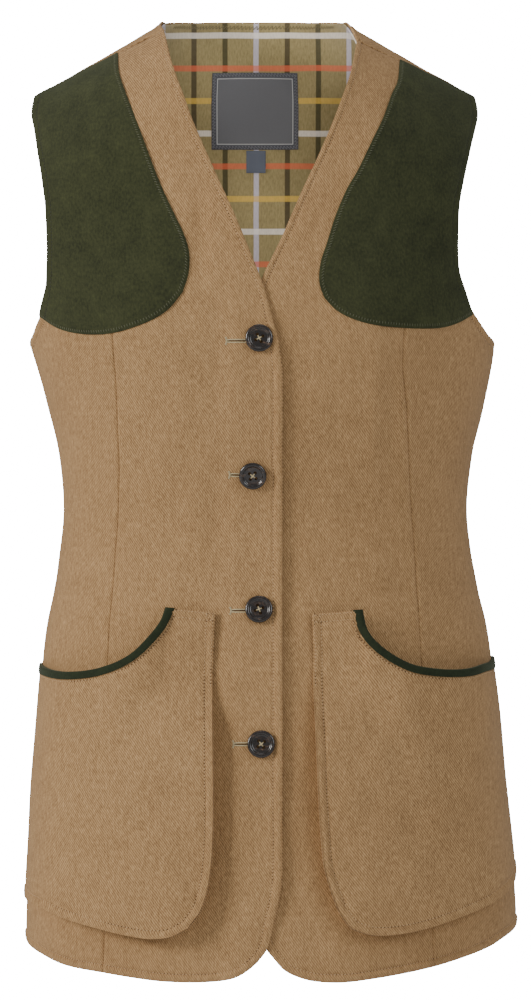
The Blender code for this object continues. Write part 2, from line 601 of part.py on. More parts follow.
def add_label(name, box, gap, wall, columns, rows, tree):
    """A flat woven label on the inside of the back lining."""
    x0, x1, z0, z1 = box
    net = np.array([[spot(x, z, BACK) for x in np.linspace(x0, x1, columns)] for z in np.linspace(z0, z1, rows)])
    cloth(name, net, BACK, cloth_height(net, BACK, tree) - gap, wall, ())


for item in list(bpy.data.objects):
    bpy.data.objects.remove(item, do_unlink=True)

add_fronts()
add_back()
add_patch("shoulder_patch_right", FRONT_NETS["right"], PATCH_RIGHT_INNER, PATCH_RIGHT_LOWER, 1)
add_patch("shoulder_patch_left", FRONT_NETS["left"], PATCH_LEFT_INNER, PATCH_LEFT_LOWER, -1)
fronts = triangles_of(["front_right_side", "front_right_centre", "front_left_centre", "front_left_side"])
for label, table, right in (("right", POCKET_RIGHT, True), ("left", POCKET_LEFT, False)):
    mouth, below = add_pocket("pocket_" + label, table, right, fronts)
    add_binding("pocket_binding_" + label, mouth, below, right, triangles_of(["pocket_" + label]))
for number, (button_x, button_z) in enumerate(BUTTONS, 1):
    add_button("button_%d" % number, button_x, button_z)
inside = triangles_of(["lining_back"])
add_label("label_main", LABEL_MAIN, 0.7 * MM, 0.7 * MM, 9, 7, inside)
add_label("label_size", LABEL_SIZE, 0.6 * MM, 0.7 * MM, 3, 3, inside)
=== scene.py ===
"""Looks of the shooting vest: cloth, suede, check lining, horn buttons, labels and all visible sewing.

Metres, +Z up, the front faces -Y. The form's tables are in millimetres, read in the front view.
"""
import json
import math

import bpy
import numpy as np
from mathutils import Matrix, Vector
from mathutils.bvhtree import BVHTree
from mathutils.kdtree import KDTree

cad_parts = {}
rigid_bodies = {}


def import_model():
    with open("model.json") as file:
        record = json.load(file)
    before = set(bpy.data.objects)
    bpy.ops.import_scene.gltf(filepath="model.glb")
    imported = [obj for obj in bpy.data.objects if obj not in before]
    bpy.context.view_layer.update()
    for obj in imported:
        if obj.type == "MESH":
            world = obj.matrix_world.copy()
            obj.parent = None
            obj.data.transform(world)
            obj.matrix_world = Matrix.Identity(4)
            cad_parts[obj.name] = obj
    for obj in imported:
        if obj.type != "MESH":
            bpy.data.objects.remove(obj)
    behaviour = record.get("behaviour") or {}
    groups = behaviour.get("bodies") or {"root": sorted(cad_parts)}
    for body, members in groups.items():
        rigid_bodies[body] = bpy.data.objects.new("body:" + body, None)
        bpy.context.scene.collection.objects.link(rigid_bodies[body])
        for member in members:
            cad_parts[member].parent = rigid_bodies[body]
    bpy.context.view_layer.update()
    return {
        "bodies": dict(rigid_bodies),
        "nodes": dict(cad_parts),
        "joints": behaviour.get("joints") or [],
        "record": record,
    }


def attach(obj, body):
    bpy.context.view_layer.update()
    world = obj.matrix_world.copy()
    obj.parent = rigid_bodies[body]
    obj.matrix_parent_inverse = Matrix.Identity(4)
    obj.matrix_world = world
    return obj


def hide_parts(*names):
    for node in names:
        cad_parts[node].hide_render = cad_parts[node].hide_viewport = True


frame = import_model()
for start_name in ("Cube", "Light", "Camera"):
    if start_name in bpy.data.objects:
        bpy.data.objects.remove(bpy.data.objects[start_name], do_unlink=True)

MM = 0.001
CLOTH = 1.6 * MM
SUEDE = 1.1 * MM
LINING = 1.0 * MM
POCKET_CLOTH = 1.5 * MM
SEAM_HALF = -0.03 * MM
PATCH_GAP = 0.35 * MM
LINING_GAP = 0.5 * MM
OVERLAP_LIFT = CLOTH + 0.7 * MM
FRONT, BACK = -1, 1

# Shoulder: the crest's height above the straight sides, its neck half width, how round the nape is across,
# the crest's slope, its softness.
ARCH = 90 * MM
NECK = 68 * MM
NAPE = 22 * MM
SLOPE = 0.57
SOFT = 6 * MM
FULLNESS = 0.2

# Height, then the middle, half width, front depth and back depth of the level cut there.
LEVELS = np.array([
    (-680, 13.0, 178.0, 131, 133),
    (-610, 12.2, 174.8, 129, 132),
    (-550, 10.8, 170.0, 126, 129),
    (-470, 9.8, 163.0, 119, 117),
    (-430, 9.2, 157.7, 113, 105),
    (-390, 8.5, 149.5, 106, 92),
    (-350, 8.0, 144.7, 102, 83),
    (-310, 8.5, 148.3, 110, 86),
    (-270, 8.7, 157.3, 119, 93),
    (-229, 6.0, 167.0, 122, 100),
    (-200, 2.0, 170.0, 119, 103),
    (-150, -0.5, 171.0, 109, 104),
    (-100, -0.5, 170.5, 97, 99),
    (-50, 0.0, 170.0, 83, 88),
    (20, 0.0, 170.0, 62, 72),
]) * MM
LEVEL_SLOPES = np.gradient(LEVELS[:, 1:], LEVELS[:, 0], axis=0)

# Bust, soft folds and hem waves of the front: x, z, half width across, half width up, height.
SWELLS = np.array([
    (-78, -222, 46, 60, 6.0),
    (82, -222, 46, 60, 6.0),
    (-36, -160, 7, 34, -2.2),
    (-27, -165, 8, 38, 1.6),
    (84, -290, 6, 45, 1.6),
    (96, -285, 5, 45, -1.4),
    (108, -295, 7, 40, 1.2),
    (-60, -660, 20, 60, 2.0),
    (70, -655, 22, 60, 2.0),
    (150, -560, 18, 90, 1.5),
    (-140, -560, 18, 90, 1.5),
]) * MM

SIDE_RIGHT = -0.3 / MM
SIDE_LEFT = 0.3 / MM

# Front pieces: the wearer's right front lies on top, its edge and neckline seen whole.
EDGE_TOP = [(3, -659), (10, -649), (14, -633), (19, -609), (20, -585), (20, -520), (20, -440), (20, -350),
            (20, -285), (20, -250)]
NECKLINE_TOP = [(20, -250), (18, -235), (14, -218), (6, -190), (-12, -145), (-27, -111), (-41.3, -78),
                (-48.5, -58), (-56, -38), (-61, -20), (-65, -4)]
EDGE_UNDER = [(15, -658), (8, -649), (1, -633), (-4, -609), (-5, -585), (-5, -520), (-5, -440), (-5, -350),
              (-5, -285), (-5, -250)]
NECKLINE_UNDER = [(-5, -250), (-5, -232), (-4, -218), (-1, -203), (6.5, -185), (20, -157), (32, -129),
                  (47, -96), (60, -64), (69, -37), (74, -13)]
SHOULDER_TOP_RIGHT = [[(-65, -4), (-85, -14.5), (-107, -26.5)], [(-107, -26.5), (-130, -38), (-157, -51.5)]]
SHOULDER_TOP_LEFT = [[(74, -13), (94, -22), (113, -31)], [(113, -31), (134, -40.5), (158, -51.8)]]
ARMHOLE_RIGHT = [(SIDE_RIGHT, -229), (-159, -225), (-156, -220), (-150, -208), (-146, -193), (-145, -179),
                 (-145, -158), (-146, -136), (-149, -114), (-153, -92), (-156, -77), (-158.5, -64),
                 (-157, -51.5)]
ARMHOLE_LEFT = [(SIDE_LEFT, -229), (169, -225), (164, -220), (155, -208), (148, -193), (144, -179),
                (143, -158), (144, -136), (148, -114), (153, -92), (157, -77), (159.5, -64), (158, -51.8)]
PRINCESS_RIGHT = [[(-105, -669), (-104, -640), (-103, -550), (-102, -455), (-99, -404), (-97, -374),
                   (-95, -343), (-94, -320), (-95, -290), (-96, -260), (-98, -232)],
                  [(-98, -232), (-100, -190), (-102, -150), (-104, -100), (-106, -60), (-107, -26.5)]]
PRINCESS_LEFT = [[(126, -664.5), (124, -638), (121, -550), (117, -449), (115, -414), (113, -381), (111, -351),
                  (109, -316), (107, -283), (104, -250), (104, -232)],
                 [(104, -232), (105, -190), (107, -150), (109, -100), (111, -60), (113, -31)]]
HEM_RIGHT = [[(SIDE_RIGHT, -653), (-161, -657), (-150, -661), (-133, -666), (-105, -669)],
             [(-105, -669), (-88, -671), (-66, -673), (-43, -673.5), (-25, -672.5), (-13, -670), (-4, -665),
              (3, -659)]]
HEM_LEFT = [[(15, -658), (21, -664.5), (30, -669.2), (42, -672.4), (60, -673.4), (81, -671.5), (105, -668.2),
             (126, -664.5)],
            [(126, -664.5), (148, -659.3), (167, -654), (179, -649), (SIDE_LEFT, -643)]]
SIDE_SEAM_RIGHT = [(SIDE_RIGHT, -653), (SIDE_RIGHT, -500), (SIDE_RIGHT, -350), (SIDE_RIGHT, -229)]
SIDE_SEAM_LEFT = [(SIDE_LEFT, -643), (SIDE_LEFT, -500), (SIDE_LEFT, -350), (SIDE_LEFT, -229)]

# Back: a point with a third value of 1 lies forward of the shoulder's crest.
BACK_HEM_RIGHT = [(SIDE_RIGHT, -653), (-150, -657), (-100, -659), (-50, -660), (0, -660)]
BACK_HEM_LEFT = [(0, -660), (50, -659.5), (100, -658), (150, -653), (SIDE_LEFT, -643)]
BACK_MIDDLE = [[(0, -660), (0, -500), (0, -350), (0, -229)], [(0, -229), (0, -150), (0, -70), (0, 11.3)]]
BACK_ARMHOLE_RIGHT = [(SIDE_RIGHT, -229), (-157, -222), (-152, -212), (-147, -198), (-144, -180),
                      (-143, -158), (-144, -136), (-147, -114), (-150.5, -92), (-154, -75), (-156.5, -60),
                      (-157, -51.5, 1)]
BACK_ARMHOLE_LEFT = [(SIDE_LEFT, -229), (166, -222), (158, -212), (149, -198), (143, -180), (141, -158),
                     (142, -136), (145.5, -114), (150, -92), (154, -75), (157, -60), (158, -51.8, 1)]
BACK_NECK_RIGHT = [(0, 11.3), (-20, 10.9), (-38, 9.3), (-48, 8.2), (-56, 6.9), (-61, 5.8), (-64.5, 4.6),
                   (-67, 1.8, 1), (-66.6, -1, 1), (-65, -4, 1)]
BACK_NECK_LEFT = [(0, 11.3), (20, 10.9), (38, 9.3), (48, 8.2), (56, 6.9), (61, 5.8), (64.5, 4.6),
                  (67.5, 2.2, 1), (70, -2.5, 1), (74, -13, 1)]

# Suede patches: inner edge from the shoulder down to the round corner, then the lower edge out.
PATCH_RIGHT_INNER = [(-49, -197), (-45, -184), (-44.5, -170), (-48, -157), (-54, -144), (-62, -127),
                     (-69, -110), (-76, -91), (-83, -72), (-90, -54), (-95.5, -37), (-97, -22.5)]
PATCH_RIGHT_LOWER = [(-151, -211), (-137, -220), (-124, -224), (-108, -225.5), (-94, -224), (-80, -220),
                     (-68, -215), (-58, -208), (-49, -197)]
PATCH_LEFT_INNER = [(49, -201), (45.5, -190), (46.5, -176), (51, -162), (57, -143), (65, -124), (73, -110),
                    (82, -91), (91, -72), (97, -55), (102, -43), (104, -28)]
PATCH_LEFT_LOWER = [(154, -210), (142, -217), (130, -220.5), (113, -221.5), (98, -221), (84, -219.5),
                    (70, -216), (58, -210), (49, -201)]
SHOULDER_RIGHT_PART = [(-157, -51.5), (-130, -38), (-107, -26.5), (-97, -21.6)]
SHOULDER_LEFT_PART = [(158, -51.8), (134, -40.5), (113, -31), (104, -26.7)]

# Each patch: lower edge, inner edge, armhole, shoulder, and which way its inside lies.
PATCHES = {
    "right": (PATCH_RIGHT_LOWER, PATCH_RIGHT_INNER, ARMHOLE_RIGHT[4:], SHOULDER_RIGHT_PART, 1),
    "left": (PATCH_LEFT_LOWER, PATCH_LEFT_INNER, ARMHOLE_LEFT[4:], SHOULDER_LEFT_PART, -1),
}

# Bellows pockets: inner edge, lower edge, straight top, curved bound mouth, side seam.
POCKET_RIGHT = {
    "inner": [(-43.5, -635.5), (-35, -623.5), (-29.8, -607.5), (-27.2, -589), (-26.2, -568), (-26, -542),
              (-26.4, -506), (-27.8, -468), (-27.2, -445), (-26, -419)],
    "lower": [(SIDE_RIGHT, -621), (-160, -622.5), (-143, -626), (-124, -632.5), (-102, -638), (-82, -642),
              (-68, -643.6), (-55, -642), (-43.5, -635.5)],
    "top": [(-57, -416.5), (-42, -417.5), (-26, -419)],
    "mouth": [(SIDE_RIGHT, -459), (-143, -461), (-133, -462.7), (-123, -463.6), (-112, -462.8),
              (-100, -460.2), (-89, -456), (-78, -448.5), (-69, -438.5), (-62, -428), (-57, -416.5)],
    "side": [(SIDE_RIGHT, -621), (SIDE_RIGHT, -540), (SIDE_RIGHT, -459)],
}
POCKET_LEFT = {
    "inner": [(57, -623), (51.6, -608), (47.2, -592.5), (45, -571), (43.5, -548), (42.4, -523), (41.4, -497),
              (41, -471), (41, -445), (40, -420)],
    "lower": [(SIDE_LEFT, -603), (183, -609), (171, -616), (154, -624.5), (134, -631.8), (116, -637.2),
              (100, -640.2), (86, -641.2), (76, -640), (65, -634.8), (57, -623)],
    "top": [(71.5, -418), (55, -419), (40, -420)],
    "mouth": [(SIDE_LEFT, -454), (168, -456.5), (155, -458.5), (142, -461.5), (129, -462), (116, -460.5),
              (104, -457.5), (91, -450), (80.5, -440.5), (74.5, -430), (71.5, -418)],
    "side": [(SIDE_LEFT, -603), (SIDE_LEFT, -520), (SIDE_LEFT, -454)],
}

# How far the pocket cloth stands off, where the bellows end, and the gusset's fold and foot.
POCKET_STAND = 10.5 * MM
POCKET_FLAT = POCKET_CLOTH + 0.6 * MM
POCKET_LEAST = POCKET_CLOTH + 0.2 * MM
MOUTH_STAND = 1.7 * MM
BELLOWS_TOP = 0.8
GUSSET_INSET = 2.5 * MM
GUSSET_FOOT = 0.7 * MM

# Buttons, how far each buttonhole reaches past its button and lies below its middle, and the labels' boxes.
BUTTONS = [(4, -229), (-0.4, -322.8), (3.9, -417.1), (5.4, -509.3)]
HOLE_REACH = (23.2, 16.6, 20.0, 19.6)
HOLE_DROP = (1.8, 0.0, 0.7, 0.0)
LABEL_MAIN = (-32, 33, -80, -24)
LABEL_SIZE = (-6, 8.5, -97, -80.6)

# The camera's height and its distance from the origin.
CAMERA_HIGH = -0.3406
CAMERA_FAR = 3.0


def unit(ways):
    """Directions of length 1."""
    return ways / np.maximum(np.linalg.norm(ways, axis=-1, keepdims=True), 1e-12)


def run_of(points):
    """Length along a row of points, from 0."""
    return np.concatenate([[0], np.cumsum(np.linalg.norm(np.diff(points, axis=0), axis=-1))])


def cut_at(pairs, where, marks):
    """A line's pairs at the marks, where its own pairs stand at where."""
    return np.stack([np.interp(marks, where, pairs[:, k]) for k in range(2)], axis=-1)


def ease(f):
    """0 below 0, 1 above 1, smooth between."""
    f = np.clip(f, 0, 1)
    return f * f * (3 - 2 * f)


def ridge(distance, wide, at=0.0):
    """A smooth ridge of height 1 that runs at a distance from a line."""
    return np.exp(-((distance - at) / wide) ** 2)


def crest(x):
    """Height of the shoulder's ridge line over x."""
    d = math.hypot(NECK, NAPE) - np.hypot(x, NAPE)
    return (ARCH / NECK + SLOPE) / 2 * d + (ARCH / NECK - SLOPE) / 2 * np.hypot(d, SOFT)


def level(q):
    """Middle, half width, front depth and back depth of the level cut at q, smoothly joined."""
    q = np.clip(q, LEVELS[0, 0], LEVELS[-1, 0])
    i = np.clip(np.searchsorted(LEVELS[:, 0], q) - 1, 0, len(LEVELS) - 2)
    step = LEVELS[i + 1, 0] - LEVELS[i, 0]
    f = (q - LEVELS[i, 0]) / step
    low, high = LEVELS[i, 1:], LEVELS[i + 1, 1:]
    f, step = f[..., None], step[..., None]
    sizes = (low * (2 * f ** 3 - 3 * f ** 2 + 1) + high * (3 * f ** 2 - 2 * f ** 3)
             + LEVEL_SLOPES[i] * step * (f ** 3 - 2 * f ** 2 + f)
             + LEVEL_SLOPES[i + 1] * step * (f ** 3 - f ** 2))
    return [sizes[..., k] for k in range(4)]


def swell(x, z):
    """How far bust and soft folds stand out of the front's plain form."""
    total = np.zeros_like(x)
    for x0, z0, wide, high, out in SWELLS:
        total += out * np.exp(-((x - x0) / wide) ** 2 - ((z - z0) / high) ** 2)
    return total


# Small steps of (a, q) for slopes, and metres of girth for one unit of a.
SMALL_STEPS = np.array([(1e-3, 0.0), (0.0, 1e-4)])
GIRTH_SHARE = 0.13


def form(a, q, side):
    """Points of the outer face: a turns round a level cut, q climbs and goes over the shoulder."""
    middle, half, _, _ = level(q)
    x = middle + half * np.sin(a)
    top = crest(x) + ARCH * (math.pi / 2 - 1)
    over = q > top
    q = np.where(over, 2 * top - q, q)
    facing = np.where(over, -side, side)
    middle, half, front, behind = level(q)
    s = np.clip((x - middle) / half, -1, 1)
    c = np.where(over, np.sqrt(1 - s * s), np.cos(a))
    base = crest(x) - ARCH
    lean = np.clip((q - base) / ARCH, 0, math.pi / 2)
    z = np.where(q > base, base + ARCH * np.sin(lean), q)
    depth = np.where(facing < 0, front, behind) * (1 + FULLNESS * s * s)
    depth = (depth + np.where(facing < 0, swell(x, z), 0)) * c * np.cos(lean)
    return np.stack([x, facing * depth, z], axis=-1)


def spot(x, z, over=0):
    """The form's own pair (a, q) for a point read in the front view, in millimetres."""
    x, z = np.array(x * MM), np.array(z * MM)
    if abs(x) < 0.25:
        base = crest(x) - ARCH
        q = np.where(z > base, base + ARCH * np.arcsin(np.clip((z - base) / ARCH, -1, 1)), z)
    else:
        q = z
    if over:
        q = 2 * (crest(x) + ARCH * (math.pi / 2 - 1)) - q
    middle, half, _, _ = level(q)
    return float(np.arcsin(np.clip((x - middle) / half, -1, 1))), float(q)


def line(points, steps):
    """A smooth line through points of the front view, cut into even steps of (a, q)."""
    knots = np.array([spot(p[0], p[1], len(p) > 2) for p in points])
    knots = np.vstack([2 * knots[0] - knots[1], knots, 2 * knots[-1] - knots[-2]])
    dense = []
    for i in range(1, len(knots) - 2):
        p0, p1, p2, p3 = knots[i - 1:i + 3]
        for f in np.linspace(0, 1, 16, endpoint=False):
            dense.append(0.5 * (2 * p1 + (p2 - p0) * f + (2 * p0 - 5 * p1 + 4 * p2 - p3) * f ** 2
                                + (3 * p1 - p0 - 3 * p2 + p3) * f ** 3))
    dense.append(knots[-2])
    dense = np.array(dense)
    length = run_of(dense * (GIRTH_SHARE, 1.0))
    return cut_at(dense, length, np.linspace(0, length[-1], steps + 1))


def on_form(pairs, side):
    """Points of the outer face for a path or a net of (a, q)."""
    return form(pairs[..., 0], pairs[..., 1], side)


def slopes(pairs, side):
    """How the outer face moves with a and with q."""
    return [(on_form(pairs + step, side) - on_form(pairs - step, side)) / (2 * step.sum())
            for step in SMALL_STEPS]


def normal(pairs, side):
    """Outward unit directions of the outer face."""
    round_way, up_way = slopes(pairs, side)
    return unit(np.cross(round_way, up_way) * -side)


def out(net, side, rise):
    """Points over a net of (a, q), moved out along the form's own directions."""
    return on_form(net, side) + normal(net, side) * np.broadcast_to(rise, net.shape[:-1])[..., None]


def over_crest(points):
    """The back's own pairs (a, q) for a line of the front near the shoulder."""
    a, q = points[:, 0], points[:, 1]
    middle, half, _, _ = level(q)
    x = middle + half * np.sin(a)
    q = 2 * (crest(x) + ARCH * (math.pi / 2 - 1)) - q
    middle, half, _, _ = level(q)
    return np.stack([np.arcsin(np.clip((x - middle) / half, -1, 1)), q], axis=-1)


# Net and shell.
LOW_ROWS = np.concatenate([np.arange(0, 10.4, 0.8) / 430, np.linspace(14 / 430, 1, 88)])
HIGH_ROWS = np.linspace(0, 1, 67)
ARMPIT = 16 / 28
ROW_MARKS = np.concatenate([LOW_ROWS * ARMPIT, ARMPIT + HIGH_ROWS[1:] * (1 - ARMPIT)])
CENTRE_COLUMNS = 64
SIDE_COLUMNS = 58
BACK_COLUMNS = 84


def column_marks(count):
    """Shares of a row, closer together near both ends."""
    t = np.linspace(0, 1, count + 1)
    return 0.55 * t + 0.45 * (0.5 - 0.5 * np.cos(math.pi * t))


def length_round(a, q, side):
    """Signed length round the level cut from the form's middle to a."""
    steps = 18
    total = np.zeros(a.shape)
    last = form(np.zeros(a.shape), q, side)
    for k in range(1, steps + 1):
        here = form(a * k / steps, q, side)
        total += np.linalg.norm(here - last, axis=-1)
        last = here
    return np.sign(a) * total


def cloth_uv(net, side=BACK):
    """Flat places of a net's points, in metres, the same way round on every panel seen from outside."""
    return np.stack([-side * length_round(net[..., 0], net[..., 1], side), net[..., 1]], axis=-1)


def grid_faces(number):
    """Faces over a grid of point numbers."""
    corners = [number[:-1, :-1], number[:-1, 1:], number[1:, 1:], number[1:, :-1]]
    return np.stack(corners, axis=-1).reshape(-1, 4)


def quads(rows, columns):
    """Faces over a net, numbered row by row."""
    return grid_faces(np.arange(rows * columns).reshape(rows, columns))


def new_mesh(name, points, faces):
    """A mesh from points and faces."""
    mesh = bpy.data.meshes.new(name)
    mesh.from_pydata(np.asarray(points).tolist(), [], [tuple(int(k) for k in f) for f in faces])
    return mesh


def new_object(name, data):
    """An object in the scene."""
    item = bpy.data.objects.new(name, data)
    bpy.context.scene.collection.objects.link(item)
    return item


def dress(mesh, uv, sharp):
    """Flat cloth places, one for each point, smooth faces, and creases over the sharp angle."""
    if uv is not None:
        layer = mesh.uv_layers.new(name="cloth")
        corner = np.zeros(len(mesh.loops), np.int32)
        mesh.loops.foreach_get("vertex_index", corner)
        layer.data.foreach_set("uv", np.asarray(uv, np.float32)[corner].reshape(-1))
    mesh.polygons.foreach_set("use_smooth", [True] * len(mesh.polygons))
    mesh.set_sharp_from_angle(angle=math.radians(sharp))
    mesh.update()


def make(name, points, faces, uv, material, sharp=50):
    """A mesh piece that rides the vest."""
    mesh = new_mesh(name, points, faces)
    dress(mesh, uv, sharp)
    mesh.materials.append(material)
    item = new_object(name, mesh)
    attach(item, "root")
    return item


# Turns of a rim's three rings, how round a free rim and a sewn one are, and a net's border lines.
RIM_TURNS = (math.radians(52), 0.0, math.radians(-52))
FREE_RIM, SEAM_RIM = 0.8, 0.3
NET_EDGES = {"low_x": (np.s_[:, 0], np.s_[:, 1]), "high_x": (np.s_[:, -1], np.s_[:, -2]),
             "lower": (np.s_[0], np.s_[1]), "upper": (np.s_[-1], np.s_[-2])}


def shell(name, outer, inner, faces, uv, material, fullness=FREE_RIM):
    """Cloth with two faces and a rounded rim; outer and inner are lists of points with the same faces."""
    outer, inner, faces = outer.copy(), inner.copy(), np.asarray(faces)
    p = outer[faces]
    way = np.cross(p[:, 2] - p[:, 0], p[:, 3] - p[:, 1])
    if np.einsum("ij,ij->", way, outer[faces[:, 0]] - inner[faces[:, 0]]) < 0:
        faces = faces[:, ::-1]
    count = len(outer)
    starts = faces.reshape(-1)
    ends = np.roll(faces, -1, axis=1).reshape(-1)
    known = set((starts.astype(np.int64) * count + ends).tolist())
    rim = [(int(s), int(e)) for s, e in zip(starts, ends) if int(e) * count + int(s) not in known]
    ring = sorted(set(k for edge in rim for k in edge))
    place = {k: n for n, k in enumerate(ring)}
    along = np.zeros((len(ring), 3))
    for s, e in rim:
        step = unit(outer[e] - outer[s])
        along[place[s]] += step
        along[place[e]] += step
    across = outer[ring] - inner[ring]
    wall = np.linalg.norm(across, axis=-1, keepdims=True)
    across = across / wall
    away = unit(np.cross(along, across))
    fullness = np.broadcast_to(fullness, (count,))[ring][:, None]
    middle = (outer[ring] + inner[ring]) / 2
    outer[ring] -= away * wall * 0.5 * fullness
    inner[ring] -= away * wall * 0.5 * fullness
    rings = [middle + across * wall / 2 * math.sin(t) + away * wall / 2 * fullness * (math.cos(t) - 1)
             for t in RIM_TURNS]
    points = np.vstack([outer, inner] + rings)
    numbers = [2 * count + n * len(ring) + np.arange(len(ring)) for n in range(len(rings))]
    numbers = [np.array(ring)] + numbers + [np.array(ring) + count]
    around = []
    for upper, lower in zip(numbers[:-1], numbers[1:]):
        for s, e in rim:
            a, b = place[s], place[e]
            around.append((upper[b], upper[a], lower[a], lower[b]))
    every = list(faces) + list(faces[:, ::-1] + count) + around
    uv = np.vstack([uv, uv] + [uv[ring]] * len(rings))
    return make(name, points, every, uv, material)


def net_shell(name, net, side, rise, wall, drawn, material, fullness):
    """Cloth over a net: its outer face stands off by rise, and the border lines in drawn are pulled in."""
    skins = [pull_in(out(net, side, rise - down), drawn).reshape(-1, 3) for down in (0.0, wall)]
    return shell(name, *skins, quads(*net.shape[:2]), cloth_uv(net, side).reshape(-1, 2), material, fullness)


def pull_in(points, edges):
    """Draw the named border lines of a net in by half a seam's gap."""
    for edge in edges:
        rim, inner = NET_EDGES[edge]
        points[rim] += unit(points[inner] - points[rim]) * SEAM_HALF
    return points


def spread(lower, upper, low_x, high_x, u, v):
    """A net between four edges, whose columns and rows stand at the shares u and v."""
    u, v = u[None, :, None], v[:, None, None]
    return ((1 - v) * lower[None] + v * upper[None] + (1 - u) * low_x[:, None] + u * high_x[:, None]
            - (1 - u) * (1 - v) * lower[0] - u * (1 - v) * lower[-1]
            - (1 - u) * v * upper[0] - u * v * upper[-1])


def at_marks(points, marks):
    """The smooth line through points, cut at shares of its length."""
    dense = line(points, 400)
    return cut_at(dense, np.linspace(0, 1, len(dense)), marks)


def joined(parts, marks):
    """Smooth lines end to end, each cut at its own shares."""
    lines = [at_marks(part, where) for part, where in zip(parts, marks)]
    return np.vstack([lines[0]] + [part[1:] for part in lines[1:]])


# Paths on the form.
PATH_STEP = 1.2 * MM


def path(parts, side):
    """A dense line of (a, q) through lists of points, end to end."""
    lines = []
    for part in parts:
        length = run_of(on_form(line(part, 60), side))[-1]
        lines.append(line(part, max(4, int(length / PATH_STEP))))
    return np.vstack([lines[0]] + [part[1:] for part in lines[1:]])


def even(pairs, side, pitch):
    """The same path cut into even steps of real length."""
    length = run_of(on_form(pairs, side))
    return cut_at(pairs, length, np.arange(pitch / 2, length[-1], pitch))


def move_in(pairs, side, amount, turn):
    """A path moved sideways over the surface; turn 1 is to its left seen from outside."""
    along = unit(np.gradient(on_form(pairs, side), axis=0))
    left = np.cross(normal(pairs, side), along) * turn
    shift = [amount * np.einsum("ij,ij->i", left, way) / np.einsum("ij,ij->i", way, way)
             for way in slopes(pairs, side)]
    return pairs + np.stack(shift, axis=-1)


def nearest(points, line_points):
    """Distance from each point to a dense polyline."""
    tree = KDTree(len(line_points))
    for k, p in enumerate(line_points):
        tree.insert(p, k)
    tree.balance()
    flat = points.reshape(-1, 3)
    index = np.array([tree.find(p)[1] for p in flat])
    best = np.full(len(flat), 1e9)
    for shift in (-1, 0):
        start = np.clip(index + shift, 0, len(line_points) - 2)
        p0, p1 = line_points[start], line_points[start + 1]
        step = p1 - p0
        length = np.maximum(np.einsum("ij,ij->i", step, step), 1e-18)
        f = np.clip(np.einsum("ij,ij->i", flat - p0, step) / length, 0, 1)
        best = np.minimum(best, np.linalg.norm(flat - p0 - f[:, None] * step, axis=-1))
    return best.reshape(points.shape[:-1])


# Relief of the cloth: how far an edge calms it, where the ridge beside an edge or a seam runs, how wide
# that ridge, a sewn row and a seam are.
EDGE_REACH = 14 * MM
RIM_AT, RIM_WIDE = 3.0 * MM, 1.9 * MM
ROW_WIDE, SEAM_WIDE = 0.95 * MM, 0.9 * MM
WAVES = np.random.default_rng(11).uniform(0, 1, (16, 4))


def lumps(x, z, height, wide=38 * MM, tall=95 * MM, start=0):
    """Soft unevenness of cloth as a sum of slow waves."""
    total = np.zeros_like(x)
    for k, (p, r, s, t) in enumerate(WAVES):
        turn = (p + start * 0.37) * 2 * math.pi
        across = x / (wide * (0.6 + 1.3 * r)) * (1 if t > 0.5 else -1)
        up = z / (tall * (0.6 + 1.3 * s))
        total += math.sin(k + 1.3) * np.sin(2 * math.pi * (across + up) + turn)
    return total * height / 5


STITCH_IN = 5.6 * MM
EDGES = {
    "front_right": (path([HEM_RIGHT[0], HEM_RIGHT[1], EDGE_TOP, NECKLINE_TOP], FRONT), FRONT, 1),
    "front_left": (path([HEM_LEFT[1][::-1], HEM_LEFT[0][::-1], EDGE_UNDER, NECKLINE_UNDER], FRONT),
                   FRONT, -1),
    "armhole_right": (path([ARMHOLE_RIGHT], FRONT), FRONT, -1),
    "armhole_left": (path([ARMHOLE_LEFT], FRONT), FRONT, 1),
    "back_armhole_right": (path([BACK_ARMHOLE_RIGHT], BACK), BACK, 1),
    "back_armhole_left": (path([BACK_ARMHOLE_LEFT], BACK), BACK, -1),
    "back_hem": (path([BACK_HEM_RIGHT, BACK_HEM_LEFT], BACK), BACK, -1),
    "back_neck": (path([BACK_NECK_RIGHT[::-1], BACK_NECK_LEFT], BACK), BACK, 1),
}


def stitch_depth(name):
    """How far in from an edge its sewing runs; the front edge's is a little deeper than the neckline's."""
    pairs = EDGES[name][0]
    q = pairs[:, 1]
    if name.startswith("front"):
        low = ease((q + 660 * MM) / (30 * MM))
        high = ease((q + 250 * MM) / (60 * MM))
        return STITCH_IN + 0.9 * MM * low - (2.5 * MM * high)
    if name == "back_neck":
        return np.full(len(q), 4.5 * MM)
    return np.full(len(q), STITCH_IN)


ROWS_OF_SEWING = {name: move_in(p, side, stitch_depth(name), turn) for name, (p, side, turn) in EDGES.items()}
SEAMS = {
    "princess_right": (path(PRINCESS_RIGHT, FRONT), FRONT),
    "princess_left": (path(PRINCESS_LEFT, FRONT), FRONT),
    "side_right": (path([SIDE_SEAM_RIGHT], FRONT), FRONT),
    "side_left": (path([SIDE_SEAM_LEFT], FRONT), FRONT),
    "shoulder_right": (path(SHOULDER_TOP_RIGHT, FRONT), FRONT),
    "shoulder_left": (path(SHOULDER_TOP_LEFT, FRONT), FRONT),
}


